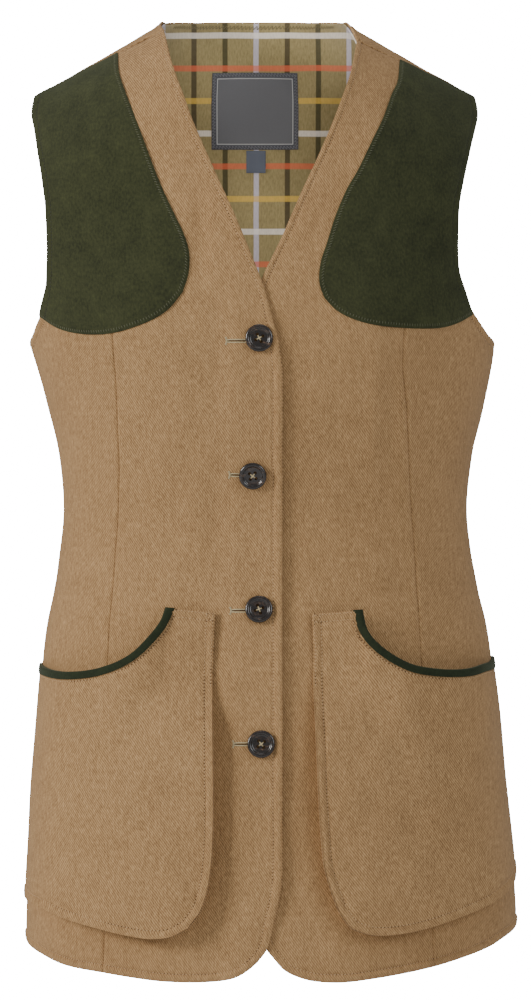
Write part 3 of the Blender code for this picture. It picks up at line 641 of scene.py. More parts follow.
def relief(net, side, edges, seams):
    """Height of sewing troughs, turned edges, seam valleys and soft lumps over a net."""
    points = on_form(net, side)
    rise, calm = 0.0, 1.0
    for name in edges:
        rim = nearest(points, on_form(EDGES[name][0], side))
        row = nearest(points, on_form(ROWS_OF_SEWING[name], side))
        calm = calm * ease(rim / EDGE_REACH)
        rise = rise + 0.6 * MM * ridge(rim, RIM_WIDE, RIM_AT) - 0.8 * MM * ridge(row, ROW_WIDE)
    for name in seams:
        seam = nearest(points, on_form(*SEAMS[name]))
        rise = rise + 0.2 * MM * ridge(seam, RIM_WIDE, RIM_AT) - 0.5 * MM * ridge(seam, SEAM_WIDE)
    return rise + calm * lumps(points[..., 0], points[..., 2], 0.55 * MM, start=0 if side == FRONT else 1)


# Panels. Each front: princess seam, hem and shoulder in two parts from low x, outer edge, open edge.
FRONT_LINES = {
    "right": (PRINCESS_RIGHT, HEM_RIGHT, [part[::-1] for part in SHOULDER_TOP_RIGHT[::-1]],
              [SIDE_SEAM_RIGHT, ARMHOLE_RIGHT], [EDGE_TOP, NECKLINE_TOP]),
    "left": (PRINCESS_LEFT, HEM_LEFT, SHOULDER_TOP_LEFT,
             [SIDE_SEAM_LEFT, ARMHOLE_LEFT], [EDGE_UNDER, NECKLINE_UNDER]),
}
FRONT_TOPS = {}
OVERLAP_START, OVERLAP_WIDE = -27 * MM, 17 * MM
EDGE_LIFT = 2.2 * MM


def add_fronts(material):
    """Two fronts, each of a centre and a side piece, made from low x to high x."""
    made = {}
    for hand, (princess, hem, top, outer_edge, open_edge) in FRONT_LINES.items():
        seam = joined(princess, (LOW_ROWS, HIGH_ROWS))
        tops = []
        for k, part in enumerate(("side", "centre") if hand == "right" else ("centre", "side")):
            is_side = part == "side"
            marks = column_marks(SIDE_COLUMNS if is_side else CENTRE_COLUMNS)
            free = joined(outer_edge if is_side else open_edge, (LOW_ROWS, HIGH_ROWS))
            low_x, high_x = (seam, free) if k else (free, seam)
            net = spread(at_marks(hem[k], marks), at_marks(top[k], marks), low_x, high_x, marks, ROW_MARKS)
            edges, seams, drawn = ["front_" + hand], ["princess_" + hand, "shoulder_" + hand], ["upper"]
            if is_side:
                edges, seams = edges + ["armhole_" + hand], seams + ["side_" + hand]
            drawn += ["low_x", "high_x"] if is_side else ["low_x" if k else "high_x"]
            fullness = np.full(net.shape[:2], FREE_RIM)
            for edge in drawn:
                fullness[NET_EDGES[edge][0]] = SEAM_RIM
            node = "front_%s_%s" % (hand, part)
            rise = relief(net, FRONT, edges, seams)
            if node == "front_right_centre":
                rise = rise + closing_lift(net)
            made[node] = net_shell(node + "_cloth", net, FRONT, rise, CLOTH, drawn, material,
                                   fullness.reshape(-1))
            tops.append(net[-1, k:])
        FRONT_TOPS[hand] = np.vstack(tops)
    return made


def closing_lift(net):
    """How far the wearer's right front lies over the left one, with its edge standing off a little more."""
    points = on_form(net, FRONT)
    x, z = points[..., 0], points[..., 2]
    edge = on_form(path([EDGE_TOP, NECKLINE_TOP], FRONT), FRONT)
    near = ease(1 - nearest(points, edge) / EDGE_REACH)
    fade = ease((z + 645 * MM) / (40 * MM)) * ease((-200 * MM - z) / (35 * MM))
    return OVERLAP_LIFT * ease((x - OVERLAP_START) / OVERLAP_WIDE) + EDGE_LIFT * near * fade


def back_nets(columns, low_rows, high_rows):
    """The back's two nets; they meet on the middle line below the neck and part round the neck's edge."""
    marks = column_marks(columns)
    rows = np.concatenate([low_rows * ARMPIT, ARMPIT + high_rows[1:] * (1 - ARMPIT)])
    half = (len(high_rows) - 1) // 2
    even_marks = np.linspace(0, 1, half + 1)
    low, high = at_marks(BACK_MIDDLE[0], low_rows), at_marks(BACK_MIDDLE[1], even_marks)
    nets = []
    for sign, neck, hem, side_seam, armhole, tops in (
            (1, BACK_NECK_RIGHT, BACK_HEM_RIGHT, SIDE_SEAM_RIGHT, BACK_ARMHOLE_RIGHT, FRONT_TOPS["right"]),
            (-1, BACK_NECK_LEFT, BACK_HEM_LEFT, SIDE_SEAM_LEFT, BACK_ARMHOLE_LEFT, FRONT_TOPS["left"])):
        middle = np.vstack([low, high[1:], at_marks(neck, even_marks)[1:]])
        outside = joined([side_seam, armhole], (low_rows, high_rows))
        top = over_crest(tops)
        length = run_of(on_form(top, BACK))
        top = cut_at(top, length, marks * length[-1])
        nets.append(spread(at_marks(hem, marks), top, *[outside, middle][::sign], marks, rows))
    return nets, len(low_rows) + half


# Depth at which the check has its plain size, seen from the camera.
NECK_DEPTH = 0.08


def lining_uv(net):
    """Flat places of the lining: the check runs level and plumb inside the neck, then follows the cloth."""
    plain = cloth_uv(net, BACK)
    points = out(net, BACK, -(CLOTH + LINING_GAP + LINING))
    share = ease((np.abs(points[..., :1]) - 66 * MM) / (50 * MM))
    nearer = (CAMERA_FAR + NECK_DEPTH) / (CAMERA_FAR + points[..., 1])
    seen_high = CAMERA_HIGH + (points[..., 2] - CAMERA_HIGH) * nearer
    seen = np.stack([-points[..., 0] * nearer, seen_high], axis=-1)
    return seen + (plain - seen) * share


def add_back_layer(name, columns, low_rows, high_rows, high, wall, edges, drawn, material, places=cloth_uv):
    """One layer of the back, both nets joined into one piece along the middle line."""
    nets, joined_rows = back_nets(columns, low_rows, high_rows)
    rows, wide = nets[0].shape[:2]
    number = np.arange(rows * wide).reshape(rows, wide)
    other = number + rows * wide
    other[:joined_rows, 0] = number[:joined_rows, -1]
    used, faces = np.unique(np.vstack([grid_faces(number), grid_faces(other)]), return_inverse=True)
    rises = [relief(net, BACK, edges, ()) + high for net in nets]
    skins = []
    for down in (0.0, wall):
        points = [pull_in(out(net, BACK, rise - down), lines) for net, rise, lines in zip(nets, rises, drawn)]
        skins.append(np.concatenate([p.reshape(-1, 3) for p in points])[used])
    uv = np.concatenate([places(net).reshape(-1, 2) for net in nets])[used]
    return shell(name, *skins, faces.reshape(-1, 4), uv, material)


def search_tree(items):
    """One search tree over some pieces."""
    points, faces = [], []
    for item in items:
        start = len(points)
        points += [v.co.copy() for v in item.data.vertices]
        faces += [tuple(start + k for k in f.vertices) for f in item.data.polygons]
    return BVHTree.FromPolygons(points, faces)


# A ray starts this far outside the form and ends this far behind it.
CAST_REACH, CAST_BEYOND = 20 * MM, 10 * MM
SMOOTHING_ROUNDS = 6


def ground_height(net, tree):
    """Height of the cloth under a front net's points over the plain form, smoothed over a few points."""
    points, ways = out(net, FRONT, 0.0), normal(net, FRONT)
    height = np.zeros(net.shape[:-1])
    for at in np.ndindex(height.shape):
        n = Vector(ways[at])
        hit = tree.ray_cast(Vector(points[at]) + n * CAST_REACH, -n, CAST_REACH + CAST_BEYOND)
        if hit[0] is not None:
            height[at] = (hit[0] - Vector(points[at])).dot(n)
    for _ in range(SMOOTHING_ROUNDS):
        grown = np.pad(height, 1, mode="edge")
        height = (grown[:-2, 1:-1] + grown[2:, 1:-1] + grown[1:-1, :-2] + grown[1:-1, 2:] + 2 * height) / 6
    return height


# Patches, pockets, bindings.
def add_patch(hand, material):
    """A suede patch between its own outline, the armhole and the shoulder seam."""
    lower, inner, armhole, top, _ = PATCHES[hand]
    u, v = column_marks(70), column_marks(96)
    net = spread(at_marks(lower, u), at_marks(top, u), at_marks([lower[0]] + armhole, v),
                 at_marks(inner[:-1] + [top[-1]], v), u, v)
    points = on_form(net, FRONT)
    rim = nearest(points, on_form(path([lower, inner], FRONT), FRONT))
    row = nearest(points, on_form(ROWS_OF_SEWING["armhole_" + hand], FRONT))
    rise = PATCH_GAP + SUEDE + lumps(points[..., 0], points[..., 2], 0.3 * MM, 30 * MM, 40 * MM, 2)
    rise = rise - 0.45 * MM * ridge(rim, 1.3 * MM) - 0.3 * MM * ridge(row, 0.8 * MM)
    return net_shell("shoulder_patch_%s_suede" % hand, net, FRONT, rise, SUEDE, ("upper",), material, 0.35)


# How finely pockets are cut, the mouth's share of the upper edge, and how far in their sewing runs.
MOUTH_PARTS, TOP_PARTS, POCKET_ROWS = 84, 18, 78
MOUTH_SHARE = 14 / 17
POCKET_SEWING_IN = 6.1 * MM
BINDING_SEWING_IN = 5.4 * MM


def pocket_stand(v, u):
    """How far a pocket stands off: v climbs to the mouth, u runs from the front edge to the side seam."""
    edge = ease((BELLOWS_TOP - v) / 0.22)
    body = edge + (1 - edge) * ease(u / 0.45)
    mouth = MOUTH_STAND * ease((v - 0.78) / 0.22)
    return POCKET_LEAST + (POCKET_FLAT - POCKET_LEAST + mouth + POCKET_STAND * body) * side_fade(u)


def side_fade(u):
    """1 over most of a pocket, 0 where it is sewn into the side seam."""
    return 1 - ease((u - 0.55) / 0.4)


POCKETS = {"right": (POCKET_RIGHT, 1), "left": (POCKET_LEFT, -1)}
POCKET_LINES = {hand: (path([table["lower"], table["inner"], table["top"][::-1]], FRONT), turn)
                for hand, (table, turn) in POCKETS.items()}
GUSSET_TURNS = 5


def add_pocket(hand, tree, material):
    """A bellows pocket with its gusset; returns the piece and its face points."""
    table, right = POCKETS[hand][0], hand == "right"
    v = np.linspace(0, 1, POCKET_ROWS)
    share = np.concatenate([np.linspace(0, MOUTH_SHARE, MOUTH_PARTS + 1),
                            np.linspace(MOUTH_SHARE, 1, TOP_PARTS + 1)[1:]])
    columns = len(share)
    lower = at_marks(table["lower"], share)
    upper = joined((table["mouth"], table["top"]),
                   (np.linspace(0, 1, MOUTH_PARTS + 1), np.linspace(0, 1, TOP_PARTS + 1)))
    side, inner = at_marks(table["side"], v), at_marks(table["inner"], v)
    if right:
        net, u = spread(lower, upper, side, inner, share, v), 1 - share
    else:
        net, u = spread(lower[::-1], upper[::-1], inner, side, 1 - share[::-1], v), 1 - share[::-1]
    ground = ground_height(net, tree)
    stand = pocket_stand(v[:, None], u[None, :])
    points = on_form(net, FRONT)
    pairs, turn = POCKET_LINES[hand]
    rim = nearest(points, on_form(pairs, FRONT))
    row = nearest(points, on_form(move_in(pairs, FRONT, POCKET_SEWING_IN, turn), FRONT))
    soft = lumps(points[..., 0], points[..., 2], 0.8 * MM, 42 * MM, 60 * MM, 3)
    rise = (soft * ease(rim / (16 * MM)) * side_fade(u)[None, :] + 0.8 * MM * ridge(rim, RIM_WIDE, RIM_AT)
            - 1.0 * MM * ridge(row, 1.0 * MM))
    outer = out(net, FRONT, ground + stand + rise)
    ways = normal(net, FRONT)
    back = outer - unit(np.cross(np.gradient(outer, axis=1), np.gradient(outer, axis=0))) * POCKET_CLOTH
    edges = ("low_x",) if right else ("high_x",)
    outer, back = pull_in(outer, edges), pull_in(back, edges)
    column, inward = (columns - 1, -1) if right else (0, 1)
    start = int(math.ceil(BELLOWS_TOP * (POCKET_ROWS - 1)))
    track = [(i, column) for i in range(start, -1, -1)]
    track += [(0, column + inward * k) for k in range(1, columns - 3)]
    far = run_of(np.array([outer[at] for at in track]))
    strip, strip_back = [], []
    for k, (i, j) in enumerate(track):
        n = ways[i, j]
        fold = min(1.0, far[k] / (30 * MM), (far[-1] - far[k]) / (30 * MM))
        lean_in = 1 - ease((far[k] - far[start] + 14 * MM) / (28 * MM))
        pull = (lean_in * unit(outer[i, column + inward] - outer[i, column])
                + (1 - lean_in) * unit(outer[1, j] - outer[0, j]))
        pull = unit(pull - n * float(pull @ n))
        inset = 0.3 * MM + GUSSET_INSET * fold
        foot = outer[i, j] + pull * inset - n * (stand[i, j] + rise[i, j] - GUSSET_FOOT)
        for t in range(1, GUSSET_TURNS + 1):
            f = t / GUSSET_TURNS
            bulge = -pull * 0.7 * MM * math.sin(math.pi * f) * fold
            at = outer[i, j] + (foot - outer[i, j]) * f + bulge
            strip.append(at)
            strip_back.append(at + pull * POCKET_CLOTH)
        back[i, j] += pull * POCKET_CLOTH * 0.8
    count = POCKET_ROWS * columns
    rim = [i * columns + j for i, j in track]
    faces = quads(POCKET_ROWS, columns).tolist()
    for k in range(len(rim) - 1):
        for t in range(GUSSET_TURNS):
            a = rim[k] if t == 0 else count + k * GUSSET_TURNS + t - 1
            b = rim[k + 1] if t == 0 else count + (k + 1) * GUSSET_TURNS + t - 1
            c, d = count + (k + 1) * GUSSET_TURNS + t, count + k * GUSSET_TURNS + t
            faces.append((b, a, d, c) if right else (a, b, c, d))
    uv = cloth_uv(net, FRONT)
    strip_uv = np.array([uv[at] + (0.0, -2.5 * MM * t) for at in track for t in range(1, GUSSET_TURNS + 1)])
    skins = [np.vstack([outer.reshape(-1, 3), strip]), np.vstack([back.reshape(-1, 3), strip_back])]
    uv = np.vstack([uv.reshape(-1, 2), strip_uv])
    return shell("pocket_%s_cloth" % hand, *skins, faces, uv, material), outer


# Section of a binding: distance past the mouth's edge, height over the pocket's face.
BINDING_SECTION = np.array([
    (-3.7, 0.75), (-3.7, 1.2), (-3.3, 1.4), (-1.8, 1.5), (-0.3, 1.45), (0.6, 1.2), (1.1, 0.6), (1.3, -0.2),
    (1.3, -1.2), (1.1, -2.0), (0.6, -2.6), (-0.3, -2.85), (-1.8, -2.9), (-3.5, -2.85), (-3.7, -2.6),
    (-3.7, -2.2), (-1.8, -2.15), (0.2, -2.1), (0.5, -1.4), (0.5, -0.1), (0.2, 0.6), (-1.8, 0.65),
]) * MM


def add_binding(hand, outer, material):
    """A suede strip folded over the curved mouth; outer is the pocket's face."""
    right = hand == "right"
    part = np.s_[:MOUTH_PARTS + 1] if right else np.s_[-1 - MOUTH_PARTS:]
    mouth, below = outer[-1, part], outer[-3, part]
    ways = np.gradient(mouth, axis=0)
    ways[1:-1] = ways[1:-1] + ways[2:] + ways[:-2]
    last = MOUTH_PARTS if right else 0
    corner, beyond = (MOUTH_PARTS, MOUTH_PARTS + 4) if right else (-1 - MOUTH_PARTS, -5 - MOUTH_PARTS)
    top_way = unit(outer[-1, corner] - outer[-1, beyond])
    rings, flat, run = [], [], 0.0
    girth = run_of(BINDING_SECTION)
    for j in range(0, MOUTH_PARTS + 1, 2):
        along = unit(ways[j])
        up = mouth[j] - below[j]
        up = unit(up - along * float(up @ along))
        face = np.cross(along, up)
        if j == last:
            up = top_way / float(np.linalg.norm(np.cross(top_way, along)))
        from_side = (j if right else MOUTH_PARTS - j) / MOUTH_PARTS
        thick = 0.6 + 0.4 * float(ease(from_side / 0.2))
        reach = 0.85 if j == last else 1.12
        rings.append([mouth[j] + up * e * reach + face * h * thick for e, h in BINDING_SECTION])
        if j:
            run += float(np.linalg.norm(mouth[j] - mouth[j - 2]))
        flat += [(run, g) for g in girth]
    ring = len(BINDING_SECTION)
    faces = []
    for i in range(len(rings) - 1):
        for k in range(ring):
            a, b = i * ring + k, i * ring + (k + 1) % ring
            faces.append((a, b, b + ring, a + ring))
    half = ring // 2
    for start, flip in ((0, False), ((len(rings) - 1) * ring, True)):
        for k in range(half - 1):
            face = (start + k, start + ring - 1 - k, start + ring - 2 - k, start + k + 1)
            faces.append(face[::-1] if flip else face)
    return make("pocket_binding_%s_suede" % hand, np.array(rings).reshape(-1, 3), faces, flat, material)


# Sewing.
# A stitch's rings: share of its length from its middle, height and size in shares of the thread's radius.
STITCH_RINGS = ((-0.5, -1.1, 0.55), (-0.33, 0.25, 1.0), (0.33, 0.25, 1.0), (0.5, -1.1, 0.55))
STITCH_SIDES, DOT_SIDES = 5, 6
THREAD = 0.26 * MM
PITCH, STITCH_LONG = 2.4 * MM, 1.7 * MM


def round_ways(across, up, count):
    """Directions round a circle in the plane of two rows of directions."""
    angle = np.arange(count) * 2 * math.pi / count
    return across[:, None] * np.cos(angle)[None, :, None] + up[:, None] * np.sin(angle)[None, :, None]


def stitches(name, places, along, up, length, radius, material):
    """One joined mesh of thread stitches, each along its own way with its ends sunk into the cloth."""
    places, along, up = np.asarray(places), unit(np.asarray(along)), np.asarray(up)
    up = unit(up - along * np.einsum("ij,ij->i", up, along)[:, None])
    across = np.cross(along, up)
    length = np.broadcast_to(length, (len(places),))[:, None, None]
    rings = []
    for far, high, size in STITCH_RINGS:
        middle = places[:, None] + along[:, None] * far * length + up[:, None] * high * radius
        rings.append(middle + round_ways(across, up, STITCH_SIDES) * radius * size)
    points = np.stack(rings, axis=1)
    count = len(STITCH_RINGS) * STITCH_SIDES
    faces = []
    for i in range(len(STITCH_RINGS) - 1):
        for k in range(STITCH_SIDES):
            a, b = i * STITCH_SIDES + k, i * STITCH_SIDES + (k + 1) % STITCH_SIDES
            faces.append((a, a + STITCH_SIDES, b + STITCH_SIDES, b))
    last = count - STITCH_SIDES
    caps = [tuple(range(STITCH_SIDES)), tuple(last + k for k in range(STITCH_SIDES))[::-1]]
    every = []
    for n in range(len(places)):
        every += [tuple(n * count + k for k in face) for face in faces + caps]
    return make(name, points.reshape(-1, 3), every, None, material, 80)


SEAT_BEYOND = 12 * MM


def seat(pairs, side, tree, turn=1):
    """Where a path meets the outermost piece: places, ways along and ways up. turn -1 comes from inside."""
    points = on_form(pairs, side)
    ways = normal(pairs, side) * turn
    along = unit(np.gradient(points, axis=0))
    places, ups = [], []
    for p, n in zip(points, ways):
        hit = tree.ray_cast(Vector(p + n * CAST_REACH), Vector(-n), CAST_REACH + SEAT_BEYOND)
        places.append(np.array(hit[0]) if hit[0] is not None else p)
        up = np.array(hit[1]) if hit[0] is not None else n
        ups.append(up if float(up @ n) > 0 else -up)
    return np.array(places), along, np.array(ups)


def add_topstitching(trees, thread, dark_thread, hole_shade):
    """Rows of plain stitches along edges, hem, armholes and pockets, with dark dots of painted shade at their
    needle holes.
    """
    rows = [(name, ROWS_OF_SEWING[name], EDGES[name][1]) for name in EDGES if name != "back_neck"]
    for hand, (pairs, turn) in POCKET_LINES.items():
        near = move_in(pairs, FRONT, 1.5 * MM, turn)
        mouth = path([POCKETS[hand][0]["mouth"]], FRONT)
        for row in (move_in(pairs, FRONT, POCKET_SEWING_IN, turn), near[near[:, 1] > -471 * MM],
                    move_in(mouth, FRONT, BINDING_SEWING_IN, -turn)):
            rows.append(("pocket", row, FRONT))
    kept = {"tan": [], "dark": []}
    holes, hole_shade_ups = [], []
    for name, pairs, side in rows:
        cut = even(pairs, side, PITCH)
        places, ways, ups = seat(cut, side, trees[0] if side == FRONT else trees[1])
        high = np.einsum("ij,ij->i", places - on_form(cut, side), ups) > 0.4 * MM
        over_suede = high & np.array([name.startswith("armhole")])
        shown = ~high | (name != "front_left")
        if name == "pocket":
            bare = seat(cut, side, trees[2])[0]
            shown = np.linalg.norm(places - bare, axis=-1) < 0.5 * MM
        shown &= ~over_suede
        for colour, pick in (("tan", shown), ("dark", over_suede)):
            kept[colour].append(np.concatenate([places[pick], ways[pick], ups[pick]], axis=1))
        # Needle holes are not cut: their shade is painted as small dark dots at the end of each stitch.
        holes.append((places + ways * PITCH * 0.5 + ups * 0.02 * MM)[shown])
        hole_shade_ups.append(ups[shown])
    for colour, name, material in (("tan", "topstitching", thread),
                                   ("dark", "topstitching_on_suede", dark_thread)):
        every = np.vstack(kept[colour])
        stitches(name, every[:, :3], every[:, 3:6], every[:, 6:], STITCH_LONG, THREAD, material)
    add_dots("needle_holes", np.vstack(holes), np.vstack(hole_shade_ups), 0.5 * MM, hole_shade)


def add_dots(name, places, ups, radius, material):
    """Small low dots lying on the cloth."""
    side = unit(np.cross(ups, (0.3, 0.2, 1.0)))
    ring = places[:, None] + radius * round_ways(side, np.cross(ups, side), DOT_SIDES)
    ring = ring - ups[:, None] * 0.06 * MM
    top = places[:, None] + ups[:, None] * 0.16 * MM
    bottom = places[:, None] - ups[:, None] * 0.3 * MM
    points = np.concatenate([ring, top, bottom], axis=1)
    faces = []
    for n in range(len(places)):
        s = n * (DOT_SIDES + 2)
        for k in range(DOT_SIDES):
            m = (k + 1) % DOT_SIDES
            faces += [(s + k, s + m, s + DOT_SIDES), (s + m, s + k, s + DOT_SIDES + 1)]
    return make(name, points.reshape(-1, 3), faces, None, material, 80)


def zigzag(pairs, side, turn, tree, near, far, pitch, look=1):
    """Places, ways and lengths of stitches that run to and fro between two distances from an edge."""
    first = even(move_in(pairs, side, near, turn), side, pitch)
    second = even(move_in(pairs, side, far, turn), side, pitch)
    count = min(len(first), len(second))
    share = np.linspace(0, 1, count)
    cut = [cut_at(pairs, np.linspace(0, 1, len(pairs)), share) for pairs in (first, second)]
    a, _, n0 = seat(cut[0], side, tree, look)
    b, _, n1 = seat(cut[1], side, tree, look)
    starts = np.concatenate([a, a[1:]])
    ends = np.concatenate([b, b[:-1]])
    ups = np.concatenate([n0 + n1, n0[1:] + n1[:-1]])
    way = ends - starts
    return (starts + ends) / 2, way, ups, np.linalg.norm(way, axis=-1)


SLIT_POINTS = 14


def add_buttonholes(tree, thread, slit_shade):
    """Worked buttonholes: two lips of close stitches, a bar at the end, and a thin dark strip of painted
    shade in the cut between them.
    """
    rows, slits = [], []
    for (x, z), reach, drop in zip(BUTTONS, HOLE_REACH, HOLE_DROP):
        left, right, z = x - reach, x - 8.8, z - drop
        steps = int((right - left) / 0.36)
        xs = np.linspace(left + 1.4, right, steps)
        lip = 0.6 + 0.35 * ease((xs - left) / 4)
        bar = np.linspace(-2.5, 2.5, 11)
        bow = left + 0.7 * (1 - (bar / 2.5) ** 2)
        for across, up, lift, lean, length in ((xs, z - lip, 0.1, 0.25, 0.95), (xs, z + lip, 0.1, 0.25, 0.95),
                                               (bow, z + bar, 0.22, 0.1, 1.5)):
            places, ways, ups = seat(np.array([spot(a, b) for a, b in zip(across, up)]), FRONT, tree)
            rows.append((places + ups * lift * MM, np.cross(ups, ways) + lean * ways, ups,
                         np.full(len(ups), length * MM)))
        # The cut's shade is painted: a thin dark strip sunk into the cloth along it.
        xs = np.linspace(left + 1.3, right + 1.0, SLIT_POINTS)
        for shift in (-0.3, 0.3):
            slits.append(seat(np.array([spot(a, z + shift) for a in xs]), FRONT, tree))
    places, along, ups, lengths = (np.concatenate([row[k] for row in rows]) for k in range(4))
    stitches("buttonhole_stitching", places, along, ups, lengths, 0.22 * MM, thread)
    points, faces = [], []
    for edge, _, up in slits:
        points += [edge + up * 0.1 * MM, edge - up * 0.5 * MM]
    for start in range(0, len(points) * SLIT_POINTS, 4 * SLIT_POINTS):
        a0, a1, b0, b1 = (start + n * SLIT_POINTS for n in range(4))
        for k in range(SLIT_POINTS - 1):
            for p, q in ((a0, b0), (b1, a1), (a1, a0), (b0, b1)):
                faces.append((p + k, p + k + 1, q + k + 1, q + k))
        last = SLIT_POINTS - 1
        faces += [(a0, b0, b1, a1), (a1 + last, b1 + last, b0 + last, a0 + last)]
    make("buttonhole_slits", np.vstack(points), faces, None, slit_shade, 30)


# Buttons, in millimetres: radius and height of each ring, then where the four holes are and how wide.
BUTTON_TURNS, HOLE_TURNS = 56, 16
BUTTON_SHAPE = [(0.0, 1.0), (6.5, 1.0), (8.4, 1.35), (9.3, 2.1), (9.6, 2.9), (9.5, 3.6), (9.1, 4.15),
                (8.5, 4.4), (7.8, 4.4), (7.2, 4.2), (6.8, 3.8), (6.5, 3.35), (6.0, 3.1), (5.4, 3.0),
                (4.0, 2.95), (0.0, 2.9)]
HOLE_AT, HOLE_SIZE = 1.95, 1.15
BUTTON_LEANS = (17, -8, 24, 6)


def button_mesh():
    """A turned four-hole button, cut through, lying in x and y about the origin."""
    points, faces = [(0.0, 0.0, BUTTON_SHAPE[0][1])], []
    for radius, high in BUTTON_SHAPE[1:-1]:
        for k in range(BUTTON_TURNS):
            angle = 2 * math.pi * k / BUTTON_TURNS
            points.append((radius * math.cos(angle), radius * math.sin(angle), high))
    points.append((0.0, 0.0, BUTTON_SHAPE[-1][1]))
    rings = len(BUTTON_SHAPE) - 2
    for k in range(BUTTON_TURNS):
        m = (k + 1) % BUTTON_TURNS
        faces.append((0, 1 + m, 1 + k))
        last = 1 + (rings - 1) * BUTTON_TURNS
        faces.append((last + k, last + m, len(points) - 1))
        for i in range(rings - 1):
            a, b = 1 + i * BUTTON_TURNS + k, 1 + i * BUTTON_TURNS + m
            faces.append((a, b, b + BUTTON_TURNS, a + BUTTON_TURNS))
    body = new_object("button", new_mesh("button", np.array(points) * MM, faces))
    points, faces = [], []
    for sx, sy in ((-1, -1), (-1, 1), (1, -1), (1, 1)):
        s = len(points)
        for z in (0.2, 5.0):
            for k in range(HOLE_TURNS):
                angle = 2 * math.pi * k / HOLE_TURNS
                points.append((sx * HOLE_AT + HOLE_SIZE * math.cos(angle),
                               sy * HOLE_AT + HOLE_SIZE * math.sin(angle), z))
        top = s + HOLE_TURNS
        faces += [range(s, top)[::-1], range(top, top + HOLE_TURNS)]
        for k in range(HOLE_TURNS):
            m = (k + 1) % HOLE_TURNS
            faces.append((s + k, s + m, top + m, top + k))
    cutter = new_object("holes", new_mesh("holes", np.array(points) * MM, faces))
    cut = body.modifiers.new("cut", "BOOLEAN")
    cut.operation, cut.solver, cut.object = "DIFFERENCE", "EXACT", cutter
    bpy.context.view_layer.update()
    done = bpy.data.meshes.new_from_object(body.evaluated_get(bpy.context.evaluated_depsgraph_get()))
    bpy.data.objects.remove(body, do_unlink=True)
    bpy.data.objects.remove(cutter, do_unlink=True)
    return done


def add_buttons(horn, thread):
    """Four buttons, each with crossed threads and a bundle of threads under its middle."""
    base = button_mesh()
    spots, ways, ups, lengths = [], [], [], []
    for number, (x, z) in enumerate(BUTTONS, 1):
        pair = np.array(spot(x, z))
        n = normal(pair, FRONT)
        across = unit(np.cross(n, (0, 0, 1.0)))
        up = np.cross(across, n)
        turn = math.radians(BUTTON_LEANS[number - 1])
        c, s = math.cos(turn), math.sin(turn)
        across, up = across * c + up * s, up * c - across * s
        place = on_form(pair, FRONT) + n * OVERLAP_LIFT
        mesh = base.copy()
        co = np.zeros(len(mesh.vertices) * 3, np.float32)
        mesh.vertices.foreach_get("co", co)
        co = co.reshape(-1, 3)
        placed = place + co[:, :1] * across + co[:, 1:2] * up + co[:, 2:] * n
        mesh.vertices.foreach_set("co", placed.astype(np.float32).reshape(-1))
        if np.dot(np.cross(across, up), n) < 0:
            mesh.flip_normals()
        dress(mesh, co[:, :2] + number * 0.05, 40)
        mesh.materials.clear()
        mesh.materials.append(horn)
        item = new_object("button_%d_horn" % number, mesh)
        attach(item, "root")
        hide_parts("button_%d" % number)
        for sx, sy in ((1, 1), (1, -1)):
            for shift in (-0.24, 0.24):
                way = across * sx + up * sy
                spots.append(place + n * 3.05 * MM + unit(np.cross(n, way)) * shift * MM)
                ways.append(way)
                ups.append(n)
                lengths.append((2 * HOLE_AT * 1.414 - 1.2) * MM)
        for k in range(6):
            angle = k * math.pi / 3
            way = across * math.cos(angle) + up * math.sin(angle)
            spots.append(place + way * 0.8 * MM + n * 0.55 * MM)
            ways.append(n)
            ups.append(way)
            lengths.append(1.6 * MM)
    stitches("button_threads", spots, ways, ups, np.array(lengths), 0.2 * MM, thread)


# Materials.
def tone(red, green, blue):
    """A colour given as it looks on a screen, 0 to 255, for a shader socket."""
    shares = [c / 255 for c in (red, green, blue)]
    return tuple(c / 12.92 if c <= 0.04 else ((c + 0.055) / 1.055) ** 2.4 for c in shares) + (1.0,)


def dimmed(colour, share):
    """A darker colour."""
    return tuple(c * share for c in colour[:3]) + (1.0,)


TAN_LIGHT, TAN_MIDDLE, TAN_DARK = tone(215, 176, 127), tone(167, 131, 89), tone(108, 79, 49)
SUEDE_LIGHT, SUEDE_DARK = tone(68, 71, 44), tone(32, 35, 21)
TRIM_LIGHT, TRIM_DARK = tone(46, 54, 34), tone(26, 32, 20)
GROUND_LIGHT, GROUND_DARK = tone(170, 154, 108), tone(126, 112, 74)
CREAM, RED, YELLOW = tone(250, 240, 228), tone(226, 104, 72), tone(228, 186, 84)
BROWN, GREEN, LAVENDER = tone(38, 30, 25), tone(22, 30, 17), tone(204, 198, 214)
HORN_LIGHT, HORN_MIDDLE, HORN_DARK = tone(112, 86, 64), tone(52, 38, 30), tone(24, 18, 16)
# Painted shade: dark colours standing for the shade inside needle holes and buttonhole slits.
HOLE_SHADE, SLIT_SHADE = tone(98, 72, 48), tone(46, 34, 26)
LABEL_CENTRE, LABEL_FRAME, LABEL_LINE = tone(95, 95, 98), tone(74, 74, 80), tone(200, 200, 196)
TAB_CENTRE = tone(84, 90, 104)
FLOOR = (0.82, 0.82, 0.82, 1.0)
WHITE = (1.0, 1.0, 1.0, 1.0)
THREADS = {
    "tan": (tone(206, 170, 126), tone(176, 142, 100)),
    "green": (tone(98, 98, 72), tone(70, 72, 50)),
    "dark_green": (tone(44, 46, 28), tone(30, 32, 20)),
    "olive": (tone(120, 108, 72), tone(84, 76, 48)),
    "khaki": (tone(208, 192, 152), tone(176, 158, 120)),
    "charcoal": (tone(118, 118, 122), tone(84, 84, 89)),
}


